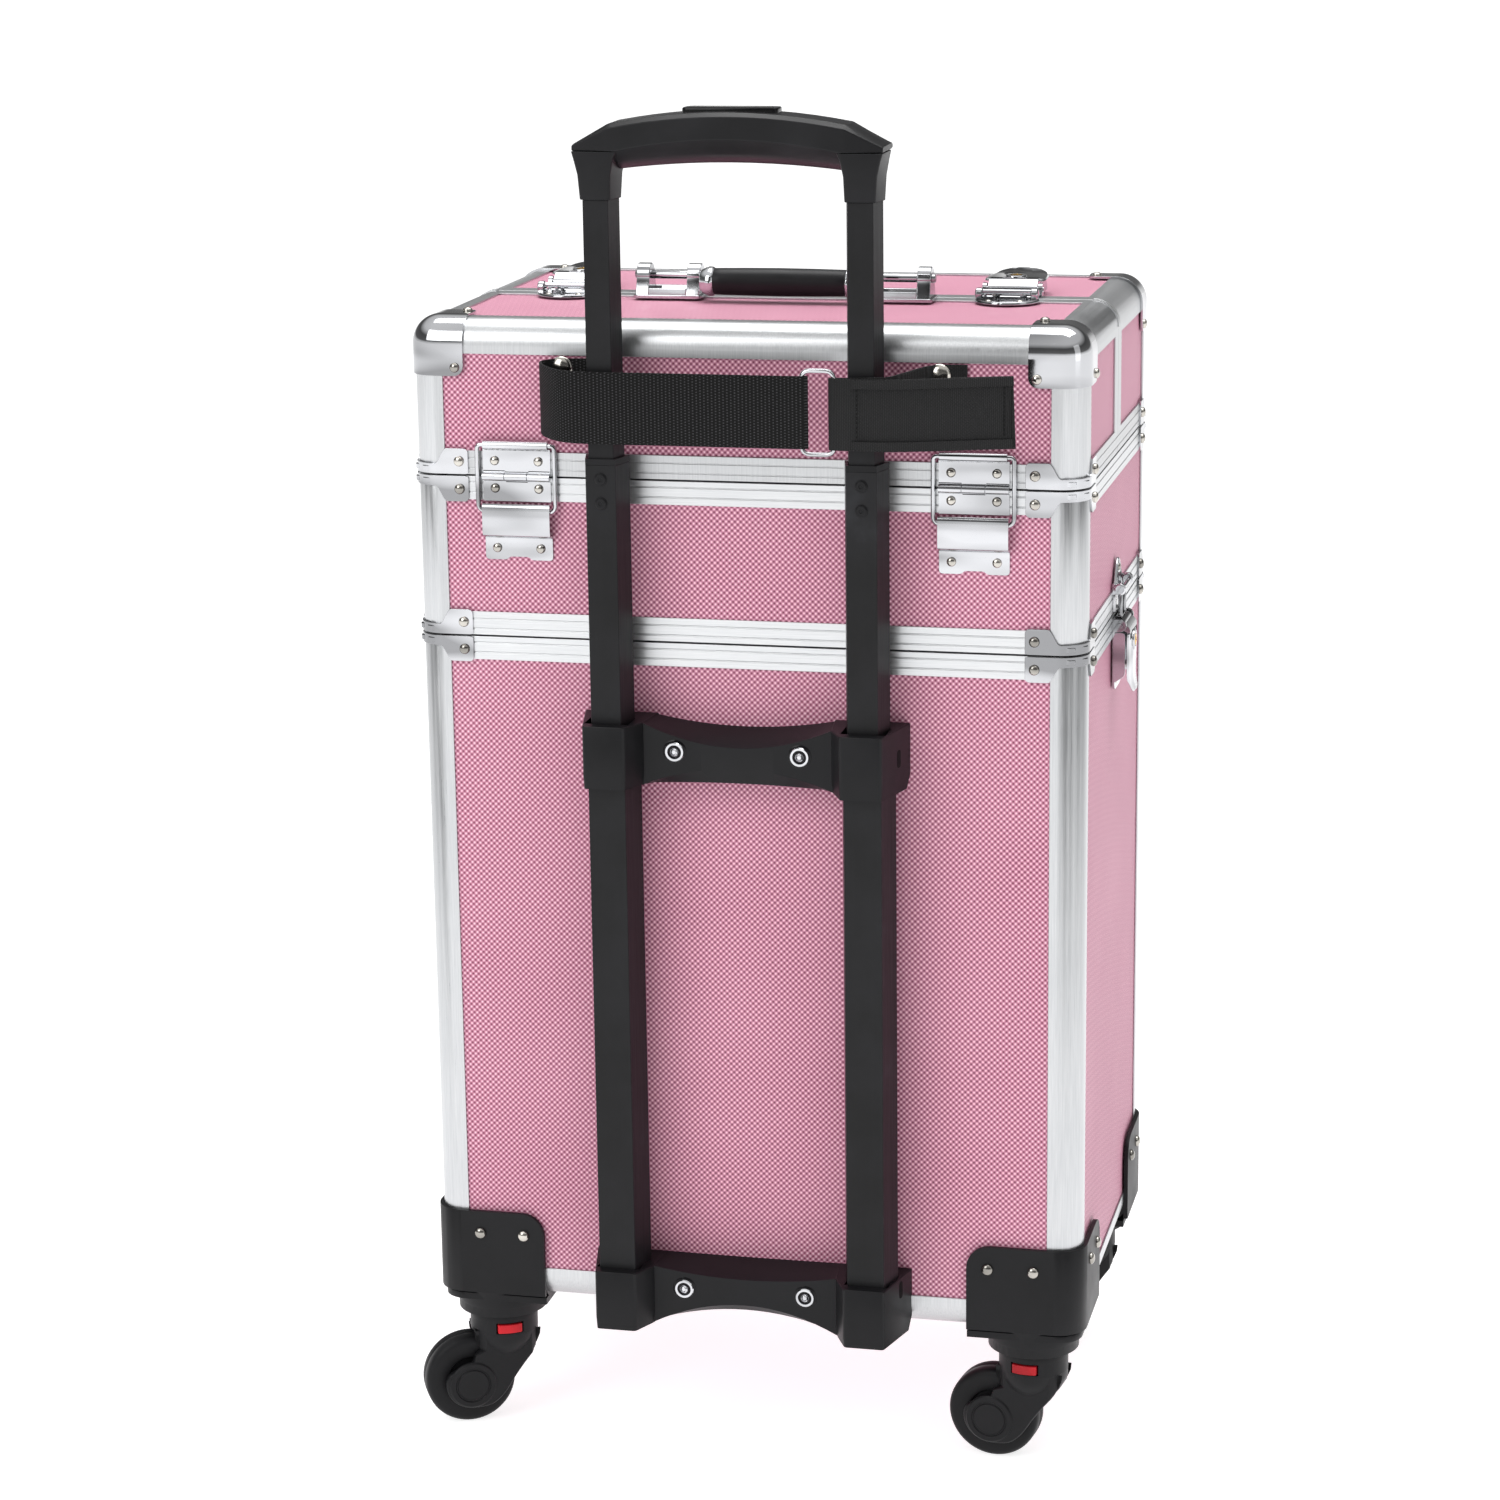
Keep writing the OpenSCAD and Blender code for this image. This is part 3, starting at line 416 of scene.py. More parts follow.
class Shape:
    """Collects closed solids in millimetres and makes one piece of them."""

    def __init__(self):
        self.verts, self.faces = [], []

    def add(self, verts, faces, matrix=None):
        start = len(self.verts)
        self.verts += [matrix @ Vector(v) if matrix else Vector(v) for v in verts]
        self.faces += [tuple(start + i for i in face) for face in faces]

    def loft(self, rings, matrix=None, loop=False):
        """Rings of equal length joined in order; loop joins the last to the first."""
        n, m = len(rings[0]), len(rings)
        faces = []
        for i in range(m if loop else m - 1):
            a, b = i * n, (i + 1) % m * n
            faces += [(a + k, a + (k + 1) % n, b + (k + 1) % n, b + k) for k in range(n)]
        if not loop:
            faces += [tuple(reversed(range(n))), tuple(range((m - 1) * n, m * n))]
        self.add([v for ring in rings for v in ring], faces, matrix)

    def slab(self, outline, thick, matrix, start=0):
        """An outline in local x and y, thick along local z."""
        self.loft([[(x, y, z) for x, y in outline] for z in (start, start + thick)], matrix)

    def lathe(self, profile, matrix, turns, loop=False):
        """A profile of (radius, height) spun round local z; loop leaves a bore."""
        self.loft([[(r * math.cos(2 * math.pi * k / turns), r * math.sin(2 * math.pi * k / turns), h)
                    for k in range(turns)] for r, h in profile], matrix, loop)

    def sweep(self, path, section, loop=False, up=(0, 0, 1)):
        """A closed section of (side, up) points carried along a path."""
        path = [Vector(p) for p in path]
        count = len(path)
        rings = []
        for i, p in enumerate(path):
            before = path[i - 1] if loop or i else p
            after = path[(i + 1) % count] if loop or i < count - 1 else p
            along = (after - before).normalized()
            side = along.cross(Vector(up)).normalized()
            over = side.cross(along)
            rings.append([p + side * a + over * b for a, b in section])
        self.loft(rings, None, loop)

    def wire(self, path, radius, loop=False, up=(0, 0, 1), sides=12):
        """A round wire along a path."""
        self.sweep(path, arc(0, 0, radius, 0, 360, sides)[:-1], loop, up)

    def shell(self, inner, outer, faces):
        """A skin between matching points inside and outside, closed along its open edges."""
        found = {}
        same = [found.setdefault(tuple(round(c, 3) for c in p), i) for i, p in enumerate(outer)]
        skin = [tuple(dict.fromkeys(same[i] for i in face)) for face in faces]
        skin = [face for face in skin if len(face) > 2]
        sides = {edge for face in skin for edge in zip(face, face[1:] + face[:1])}
        n = len(outer)
        walls = [(b, a, a + n, b + n) for a, b in sorted(sides) if (b, a) not in sides]
        back = [tuple(i + n for i in reversed(face)) for face in skin]
        self.add(list(outer) + list(inner), skin + back + walls)

    def rivet(self, spot, normal, r=2.7):
        """A domed rivet head standing on spot."""
        side = (0, 0, 1) if abs(normal[2]) < 0.5 else (1, 0, 0)
        up = Vector(normal).cross(Vector(side))
        dome = [(r * math.sin(math.radians(a)), 0.25 + r * 0.62 * math.cos(math.radians(a)))
                for a in (90, 75, 60, 45, 30, 15)]
        self.lathe([(r * 0.98, -0.4), (r, 0.1)] + dome + [(0.01, 0.25 + r * 0.62)],
                   place(spot, side, up), 20)

    def mirrored(self, *axes):
        """Adds copies mirrored in each axis in turn."""
        for axis in axes:
            flipped = [Vector(v) for v in self.verts]
            for v in flipped:
                v[axis] *= -1
            self.add(flipped, [tuple(reversed(face)) for face in self.faces])
        return self

    def make(self, name, material, body, replaces=(), slot=None, bevel=0.3, angle=38):
        mesh = bpy.data.meshes.new(name)
        mesh.from_pydata([(v + Vector((0, CASE_Y, 0))) * MM for v in self.verts], [], self.faces)
        work = bmesh.new()
        work.from_mesh(mesh)
        loose = [v for v in work.verts if not v.link_faces]
        bmesh.ops.delete(work, geom=loose, context="VERTS")
        bmesh.ops.remove_doubles(work, verts=work.verts, dist=0.002 * MM)
        bmesh.ops.dissolve_degenerate(work, edges=work.edges, dist=0.001 * MM)
        bmesh.ops.recalc_face_normals(work, faces=work.faces)
        work.to_mesh(mesh)
        work.free()
        mesh.polygons.foreach_set("use_smooth", [True] * len(mesh.polygons))
        mesh.set_sharp_from_angle(angle=math.radians(angle))
        mesh.materials.append(material)
        piece = bpy.data.objects.new(name, mesh)
        scene.collection.objects.link(piece)
        if bevel:
            ease(piece, bevel, angle)
        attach(piece, body)
        if replaces:
            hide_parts(*replaces)
        return piece


def both_sides(shapes, rear, shift=0):
    """Moves drawings outward by shift and mirrors them in x, on the rear if asked."""
    for shape in shapes:
        for v in shape.verts:
            v.x += shift
            if rear:
                v.y *= -1
        shape.mirrored(0)
    return shapes


def make_plated(plates, rivets, name, body, node, kind="plates", bevel=0.2):
    """Chrome plates in place of a CAD node, and their nickel rivets."""
    plates.make(f"{name}_{kind}", CHROME, body, [node], "hardware", bevel)
    rivets.make(f"{name}_rivets", NICKEL, body, bevel=0)


# ---- corner plates and corners
PLATE_LEN = 29.3
PLATE_T = 1.05
RIVET_IN = 24.6
LEAF = PLATE_LEN - POST_R
ROUND = math.pi / 2 * POST_R


def wrap(s, out):
    """A point s along the outside of the +x +y post, from its +y face to its +x face."""
    if s < LEAF:
        return HALF_W - PLATE_LEN + s, HALF_D + out
    if s < LEAF + ROUND:
        turn = (s - LEAF) / POST_R
        return (HALF_W - POST_R + (POST_R + out) * math.sin(turn),
                HALF_D - POST_R + (POST_R + out) * math.cos(turn))
    return HALF_W + out, HALF_D - POST_R - (s - LEAF - ROUND)


def corner_plate(shape, rivets, seam, up):
    """A stamped plate that wraps a post beside a joint, narrow where it turns the post."""
    near, tall, low, curl = 0.5, 13.4, 5.6, 2.2
    total = 2 * LEAF + ROUND
    stops = [0, 0.15, 0.5, 1.0, 1.6, curl, 6, 11, 12, 13, 14, 15, 16, 17, 18]
    stops += [18 + (total / 2 - 18) * i / 6 for i in range(1, 7)]
    stops += [total - s for s in reversed(stops[:-1])]
    rings = []
    for s in stops:
        edge = min(s, total - s)
        t = min(max((edge - 11.5) / 6, 0), 1)
        height = tall - (tall - low) * t * t * (3 - 2 * t)
        trim = curl - math.sqrt(max(curl ** 2 - max(curl - edge, 0) ** 2, 0))
        spread = [(0.02, near + trim * 0.3), (PLATE_T, near + trim * 0.3),
                  (PLATE_T, height - trim), (0.02, height - trim)]
        rings.append([(*wrap(s, out), seam + up * z) for out, z in spread])
    shape.loft(rings)
    for centre in (0.3, 0.7):
        boss = []
        for i in range(5):
            s = LEAF + ROUND * (centre - 0.11 + 0.055 * i)
            proud = 1.9 if 0 < i < 4 else 1.0
            boss.append([(*wrap(s, out), seam + up * z) for out, z in
                         ((0.5, 1.6), (proud, 1.9), (proud, 4.2), (0.5, 4.5))])
        shape.loft(boss)
    middle = seam + up * 7
    rivets.rivet((HALF_W - RIVET_IN, HALF_D + PLATE_T, middle), (0, 1, 0))
    rivets.rivet((HALF_W + PLATE_T, HALF_D - RIVET_IN, middle), (1, 0, 0))


def ball_corner(shape, rivets):
    """Chrome corner over three edges: a rounded shell with a lobe and a rivet on each face."""
    thick, arm, lobe = 1.3, 15.2, 5
    steps = [-arm, -14.6, -13.2, -11.6, -arm + lobe, -6, -2.5, 0]
    steps += [POST_R * math.tan(math.radians(a)) for a in (6, 12, 18, 24, 30, 36, 41, 45)]
    core = Vector((HALF_W - POST_R, HALF_D - POST_R, CASE_TOP - POST_R))
    inner, outer, faces = [], [], []
    for axis in range(3):
        base = len(inner)
        for a in steps:
            for b in steps:
                da, db = max(lobe - arm - a, 0), max(lobe - arm - b, 0)
                pull = max(da, db) / math.hypot(da, db) if da and db else 1
                flat = (a + da * (1 - pull), b + db * (1 - pull))
                ends = [0, 0, 0]
                ends[(axis + 1) % 3], ends[(axis + 2) % 3] = (min(c, 0) for c in flat)
                out = [0, 0, 0]
                out[axis] = POST_R
                out[(axis + 1) % 3], out[(axis + 2) % 3] = (max(c, 0) for c in flat)
                out = Vector(out).normalized()
                start = core + Vector(ends)
                inner.append(start + out * (POST_R + 0.02))
                outer.append(start + out * (POST_R + thick))
        n = len(steps)
        faces += [(base + i * n + j, base + (i + 1) * n + j, base + (i + 1) * n + j + 1,
                   base + i * n + j + 1) for i in range(n - 1) for j in range(n - 1)]
    shape.shell(inner, outer, faces)
    inset = POST_R + arm - 4.3
    rivets.rivet((HALF_W - inset, HALF_D + thick, CASE_TOP - inset), (0, 1, 0), 2.5)
    rivets.rivet((HALF_W + thick, HALF_D - inset, CASE_TOP - inset), (1, 0, 0), 2.5)
    rivets.rivet((HALF_W - inset, HALF_D - inset, CASE_TOP + thick), (0, 0, 1), 2.5)


# ---- hinges; drawn on the +y side at x = 0
HINGE_X = 115.5
HINGE_Y = HALF_D + 2.1
BAIL_Z = SEAM_HIGH + 16
LEAF_W = 35
SHEET = 0.9
KNUCKLE = 11.4
BAIL_HALF = 20
BAIL_FALL = 33.5
BRIDGE_DROP = 29.5
LEAF_Y = HALF_D + 0.55


def strip(shape, path, thick, width, x=0):
    """A bent plate: a (y, z) path given thickness, width wide about x."""
    p = [Vector(q) for q in path]
    sides = []
    for i, q in enumerate(p):
        along = (p[min(i + 1, len(p) - 1)] - p[max(i - 1, 0)]).normalized()
        sides.append(Vector((-along.y, along.x)) * thick / 2)
    outline = [tuple(q + s) for q, s in zip(p, sides)]
    outline += [tuple(q - s) for q, s in reversed(list(zip(p, sides)))]
    shape.slab(outline, width, place((x - width / 2, 0, 0), *CROSS))


def knuckle(shape, start):
    """A rolled barrel on the pin, from start along x."""
    inner, outer = 1.0, 2.1
    shape.lathe([(inner, 0), (outer, 0), (outer, KNUCKLE), (inner, KNUCKLE)],
                place((start, HINGE_Y, SEAM_HIGH), *CROSS), 20)


def leaf_rivets(rivets, y, z):
    """The two rivets of a leaf or flange."""
    for x in (-11.3, 11.3):
        rivets.rivet((x, y, z), (0, 1, 0), 2.4)


def upper_leaf(shape, rivets):
    """The lid's leaf, with a curl at its top that holds the bail."""
    strip(shape, [(LEAF_Y, SEAM_HIGH + 2.4), (LEAF_Y, BAIL_Z - 2.2)], SHEET, LEAF_W)
    strip(shape, [(LEAF_Y, BAIL_Z - 3), (LEAF_Y, BAIL_Z - 1.9)]
          + arc(HINGE_Y, BAIL_Z, 1.8, 205, -100, 14), SHEET, LEAF_W - 1.6)
    for start in (-17.4, 6):
        knuckle(shape, start)
        strip(shape, [(LEAF_Y, SEAM_HIGH + 0.6), (LEAF_Y, SEAM_HIGH + 3)], SHEET, KNUCKLE,
              start + KNUCKLE / 2)
    leaf_rivets(rivets, HALF_D + 1, SEAM_HIGH + 7.8)


def lower_leaf(shape, rivets):
    """The tier's leaf and the hinge pin."""
    strip(shape, [(LEAF_Y, SEAM_HIGH - 2.4), (LEAF_Y, SEAM_HIGH - 12.6)], SHEET, LEAF_W)
    strip(shape, [(LEAF_Y, SEAM_HIGH - 0.6), (LEAF_Y, SEAM_HIGH - 3)], SHEET, KNUCKLE)
    knuckle(shape, -KNUCKLE / 2)
    shape.lathe(pin(0.98, 0, LEAF_W), place((-LEAF_W / 2, HINGE_Y, SEAM_HIGH), *CROSS), 16)
    leaf_rivets(rivets, HALF_D + 1, SEAM_HIGH - 6)


def bridge(shape, rivets, clear):
    """The raised channel that the bail's lower bar slides in, and its riveted flange."""
    out, face = HALF_D + clear + 0.5, HALF_D - 0.5
    z = SEAM_HIGH - BRIDGE_DROP
    strip(shape, [(out - 0.9, z + 15.6), (out - 0.25, z + 15.1), (out, z + 14), (out, z + 2.2),
                  (out - 0.4, z + 0.6), (out - 1.6, z - 0.4), (face + 1.6, z - 0.7),
                  (face + 0.4, z - 1.5), (face, z - 3), (face, z - 5)], 1, LEAF_W)
    half, notch = LEAF_W / 2, 6.5
    shape.slab(rounded([(-half, z - 4), (-half, z - 13), (-notch, z - 13), (-notch + 1.8, z - 11.4),
                        (notch - 1.8, z - 11.4), (notch, z - 13), (half, z - 13), (half, z - 4)],
                       [0.1, 2, 1.2, 1, 1, 1.2, 2, 0.1]), 1, place((0, HALF_D, 0), *REAR))
    leaf_rivets(rivets, HALF_D, z - 7)


def bail(shape, _):
    """The wire loop that hangs from the curl and slides in the bridge."""
    low = BAIL_Z - BAIL_FALL
    corners = rounded(rect(-BAIL_HALF, low, BAIL_HALF, BAIL_Z), [4, 4, 2.2, 2.2], 6)
    shape.wire([(x, HINGE_Y, z) for x, z in corners], 1.2, loop=True, up=(0, 1, 0))


def hinge_pair(rear, *draws):
    """Draws at both hinges of one side; each draw is a function and its extra arguments."""
    plates, rivets = Shape(), Shape()
    for function, *extra in draws:
        function(plates, rivets, *extra)
    return both_sides((plates, rivets), rear, HINGE_X)


def make_hinges():
    """Rear hinges and bails ride whole; at the front the upper leaves and bails move."""
    make_plated(*hinge_pair(True, (upper_leaf,), (lower_leaf,), (bridge, 4)),
                "rear_hinge", "upper_case", "rear_hinges")
    make_plated(*hinge_pair(False, (lower_leaf,), (bridge, 6)),
                "front_hinge_lower", "upper_case", "front_hinge_bases")
    make_plated(*hinge_pair(False, (upper_leaf,)),
                "front_hinge_upper", "front_lid", "front_hinge_leaves")
    for rear, body, node in ((True, "upper_case", "rear_bails"), (False, "bails", "front_bails")):
        wires, _ = hinge_pair(rear, (bail,))
        wires.make(node.replace("bails", "bail_wires"), CHROME, body, [node], "hardware", 0)


# ---- corner hardware
def make_corners():
    """Plates on all four posts beside both joints, and the lids' chrome corners."""
    for name, body, node, joints in (
            ("trunk_corner", "trunk", "trunk_corner_plates", ((SEAM_LOW, -1),)),
            ("tier_corner", "upper_case", "tier_fittings", ((SEAM_LOW, 1), (SEAM_HIGH, -1)))):
        plates, rivets = Shape(), Shape()
        for seam, up in joints:
            corner_plate(plates, rivets, seam, up)
        make_plated(plates.mirrored(0, 1), rivets.mirrored(0, 1), name, body, node, "wraps")
    for name, body, rear in (("rear_lid_corner", "upper_case", True),
                             ("front_lid_corner", "front_lid", False)):
        plates, rivets = Shape(), Shape()
        corner_plate(plates, rivets, SEAM_HIGH, 1)
        ball_corner(plates, rivets)
        make_plated(*both_sides((plates, rivets), rear), name, body, name + "s", "shells")


# ---- studs inside the upper case, where the tray arms turn
def make_tray_studs():
    """A plate on each side wall with the two studs of the front tray's arms."""
    studs = Shape()
    plate_t, wall = 1.1, span("tray_arms_front", 0)[1] + 6.7
    (y1, z1), (y2, z2) = [(PIVOTS[name]["pos_m"][1] / MM - CASE_Y, PIVOTS[name]["pos_m"][2] / MM)
                          for name in ("front_arm_turn", "rear_arm_turn")]
    low, high = min(z1, z2) - 5.9, max(z1, z2) + 6
    plate = rounded(rect(y2 - 7.7, low, y1 + 4.2, high), 3)
    studs.slab(plate, plate_t, place((wall - plate_t, 0, 0), *CROSS))
    for y, z in ((y1, z1), (y2, z2)):
        studs.lathe([(0.01, -9), (1.4, -9), (1.5, -8.8), (1.5, -3.4), (3, -3), (3, -1), (0.01, -1)],
                    place((wall, y, z), *CROSS), 24)
    studs.mirrored(0)
    studs.make("tray_stud_plates", CHROME, "upper_case", bevel=0.15)


# ---- strap
STRAP_W = 36
STRAP_Z = span("strap_left", 2)[0]
STRAP_Y = span("strap_left", 1)[0] - CASE_Y + 0.8


def make_band(name, look, node, path, width, thick):
    """A flat band with soft edges along (x, y, rise of its lower edge) points."""
    t, w = thick / 2, width
    section = [(-t, 0.5), (-t * 0.6, 0.1), (t * 0.6, 0.1), (t, 0.5),
               (t, w - 0.5), (t * 0.6, w - 0.1), (-t * 0.6, w - 0.1), (-t, w - 0.5)]
    shape = Shape()
    shape.sweep(smooth([(x, y, STRAP_Z + z) for x, y, z in path], 5), section)
    shape.make(name, look, "upper_case", [node], "webbing", 0, 50)


def make_strap():
    """Webbing half, flap half with hem and stitches, and the ring between them."""
    wall, front = -HALF_D - 0.3, STRAP_Y
    left = [(-76, wall, 2), (-88, wall - 0.4, 1.8), (-95.5, wall - 2.2, 1.6), (-98.8, wall - 6, 1.4),
            (-98.6, wall - 11, 1.2), (-94.5, wall - 19, 0.9), (-87, front + 3.5, 0.6),
            (-80, front + 0.4, 0.3), (-70, front, 0), (-30, front, 0), (10, front, 0),
            (34.5, front, 0), (38.2, front + 0.6, 0), (38.8, front + 1.6, 0), (36, front + 2, 0)]
    make_band("strap_webbing", WEB, "strap_left", left, STRAP_W - 0.5, 1.5)
    right = [(112, wall, 3), (100, wall - 0.6, 3), (92, wall - 6, 2.5), (86, front + 10, 2),
             (81, front + 3.4, 1), (74, front + 1.3, 0.5), (60, front + 1.2, 0),
             (52.5, front + 0.9, 0), (50.6, front - 0.3, 0), (52.5, front - 1.6, 0),
             (60, front - 2.2, 0), (76, front - 2.6, 0), (92, front - 2.8, 0.6),
             (110, front - 2.9, 1.6), (126, front - 2.4, 2.4), (141, front - 1.6, 3)]
    make_band("strap_flap", FLAP, "strap_right", right, STRAP_W - 1, 1.3)

    # hem round the flap's outer end, and rows of stitches
    hem, thread = Shape(), Shape()
    face = smooth([(62, front - 3.2, 0), (76, front - 3.4, 0), (92, front - 3.6, 0.6),
                   (110, front - 3.7, 1.6), (126, front - 3.2, 2.4), (140.2, front - 2.4, 3)], 6)
    for level in (0.8, STRAP_W - 5.6):
        hem.sweep([(x, y + 0.1, STRAP_Z + z + level) for x, y, z in face],
                  [(-0.35, 0), (-0.2, -0.2), (0.5, -0.2), (0.5, 4.2), (-0.2, 4.2), (-0.35, 4.0)])
    x, y, z = face[-1]
    hem.sweep([(x - 2 + 0.4 * i, y + 0.1, STRAP_Z + z + 0.6) for i in range(3)],
              [(-0.55, 0), (0.5, 0), (0.5, STRAP_W - 2), (-0.55, STRAP_W - 2)])
    hem.make("strap_flap_hem", FLAP, "upper_case", (), "webbing", 0.15)
    for level in (4.3, STRAP_W - 5.2):
        row = [(x, y - 0.15, STRAP_Z + z + level) for x, y, z in face]
        for a, b in zip(row[::2], row[1::2]):
            thread.wire([a, b], 0.22, sides=6)
    for x, y, z in (face[1], face[-3]):
        for k in range(3, 15):
            low = STRAP_Z + z + 2.2 * k
            thread.wire([(x, y - 0.15, low), (x, y - 0.15, low + 1.4)], 0.22, sides=6, up=(0, 1, 0))
    thread.make("strap_stitches", WEB, "upper_case", bevel=0)

    ring = rounded(rect(36.4, -2.6, 52.4, STRAP_W + 2), 4.5, 6)
    loop = Shape()
    loop.wire([(x, front + 1.2, STRAP_Z + z) for x, z in ring], 1.15, loop=True, up=(0, 1, 0))
    loop.make("strap_ring_wire", CHROME, "upper_case", ["strap_ring"], "hardware", 0)
    studs = Shape()
    for x in (-91, 98.5):
        studs.lathe([(5.6, -1), (5.8, 0.6), (5.2, 1.5), (3.4, 2.3), (0.01, 2.7)],
                    place((x, -HALF_D - 0.9, STRAP_Z + STRAP_W - 3.5), *REAR), 28)
    studs.make("strap_studs", NICKEL, "upper_case", bevel=0)


# ---- trolley
TUBE_X = 65
GRIP_LOW = span("grip", 2)[0]
GRIP_FRONT, GRIP_REAR = (y - CASE_Y for y in span("grip", 1))


def make_grip():
    """The trolley grip: flared legs over the tubes, the arched bar and its button."""
    legs = Shape()
    # height, inner and outer half width, rear half width, front and back
    stages = ((0, 7.3, 7.3, 10.2, -141.3, -127.4), (1.2, 7.4, 7.4, 10.2, -141.4, -127.2),
              (12, 7.9, 8.3, 10.4, -141.8, -125), (19, 9.4, 10, 11, -142.2, -121.5),
              (23.1, 11.2, 11.3, 11.4, GRIP_FRONT + 0.1, -119))
    rings = []
    for z, inner, outer, rear, front, back in stages:
        outline = rounded([(-inner, front), (outer, front), (rear, back), (-rear, back)], 1.6)
        rings.append([(TUBE_X + x, y, GRIP_LOW + z) for x, y in outline])
    legs.loft(rings)
    legs.mirrored(0)
    legs.make("grip_legs", GRIP, "grip_stage", (), "moulding", 0.3)

    bar = Shape()
    seam, crown, half = GRIP_LOW + 23.3, GRIP_LOW + 42, 76.2
    handhold, flat = 56, 58
    rings = []
    stops = [-half, -74, -66, -58.5, -57.5, -56.6, -55.4, -48, -40, -30, -20, -10]
    for x in stops + [0] + [-s for s in reversed(stops)]:
        a = abs(x)
        top = crown - 5.5 * (a / flat) ** 2 if a < flat else crown - 5.5 - (a - flat) * 0.56
        inside = a < handhold
        front_low = seam + (5.9 * (1 - (a / handhold) ** 2) if inside else 0)
        under = GRIP_LOW + 16.8 - 3.4 * (a / handhold) ** 2 if inside else seam
        front, rear = GRIP_FRONT, GRIP_REAR + 0.4
        taper = max(a - flat, 0) * 0.08
        tall, face = top - under, top - front_low
        ring = [(front + taper, front_low), (front + taper + 0.2, top - 0.17 * face),
                (front + taper + 3.4, top - 0.01 * face), (rear - 5, top), (rear - 1, top - 0.1 * tall),
                (rear, top - 0.3 * tall), (rear, under + 0.2 * tall), (rear - 3, under + 0.04 * tall),
                (rear - 8, under), (rear - 14, under + 0.02 * tall),
                (front + 5.5, (under + front_low) / 2 - (0.6 if inside else 0)),
                (front + 1.2 + taper, front_low - (1.2 if inside else 0))]
        rings.append([(x, y, z) for y, z in ring])
    bar.loft(rings)
    bar.make("grip_bar", GRIP, "grip_stage", ["grip"], "moulding", 0.5, 30)

    button = Shape()
    front, back = (y - CASE_Y for y in span("release_button", 1))
    top, half = span("release_button", 2)[1], 23.6
    outline = rounded(rect(-half, front + 0.2, half, back - 0.2), 3)
    middle = (front + back) / 2
    rings = []
    for scale, drop in ((1, 5), (1, 1.1), (0.985, 0.5), (0.95, 0.15), (0.8, 0)):
        rings.append([(x * (1 - (1 - scale) * 0.4), middle + (y - middle) * scale, top - drop)
                      for x, y in outline])
    button.loft(rings)
    button.make("button_cap", GLOSS, "button", ["release_button"], "button", 0)


# ---- trolley brackets
SCREW_X = 31.8
SCREW_Z = (97, 382)
COLLAR_FRONT = span("middle_bracket", 1)[0] - CASE_Y
WALL_Y = -HALF_D + 1.05
BAR_FRONT = COLLAR_FRONT + 14


def bracket_bar(shape, low, high, front_dip, back_dip):
    """Bar between two collars: a waisted front face on a fuller back."""
    rings, half = [], 49
    for i in range(-8, 9):
        x = half * i / 8
        t = 1 - (x / half) ** 2
        lo_f, hi_f = low + front_dip[0] * t, high - front_dip[1] * t
        lo_b, hi_b = low + back_dip[0] * t, high - back_dip[1] * t
        ring = [(BAR_FRONT, lo_f), (BAR_FRONT, hi_f), (BAR_FRONT + 6, hi_f + (hi_b - hi_f) * 0.45),
                (WALL_Y, hi_b), (WALL_Y, lo_b), (BAR_FRONT + 4, lo_b + (lo_f - lo_b) * 0.12)]
        rings.append([(x, y, z) for y, z in ring])
    shape.loft(rings)


def collar(shape, low, high):
    """A bored collar round one tube, its back lower corner cut away."""
    cut = 7
    outline = rounded([(-10.5, COLLAR_FRONT), (10.5, COLLAR_FRONT), (18.4, WALL_Y),
                       (-20, WALL_Y), (-17.4, BAR_FRONT)], [1.6, 1.6, 0.4, 0.4, 2])
    levels = [(low, cut, 0.6), (low + cut * 0.9, 0, 0), (high - 0.5, 0, 0), (high, 0, 0.5)]
    rings = [[(TUBE_X + x * (1 - inset / 18), min(y, WALL_Y - back) + inset * 0.5, z)
              for x, y in outline] for z, back, inset in levels]
    half = span("mid_tubes", 0)[1] - TUBE_X + 0.2
    near, far = (y - CASE_Y + d for y, d in zip(span("mid_tubes", 1), (-0.2, 0.2)))
    bore = rounded([(-half, near), (half, near), (half, far), (-half, far),
                    (-half, (near + far) / 2)], 0.2)
    rings += [[(TUBE_X + x, y, z) for x, y in bore] for z in (high, low)]
    shape.loft(rings, loop=True)


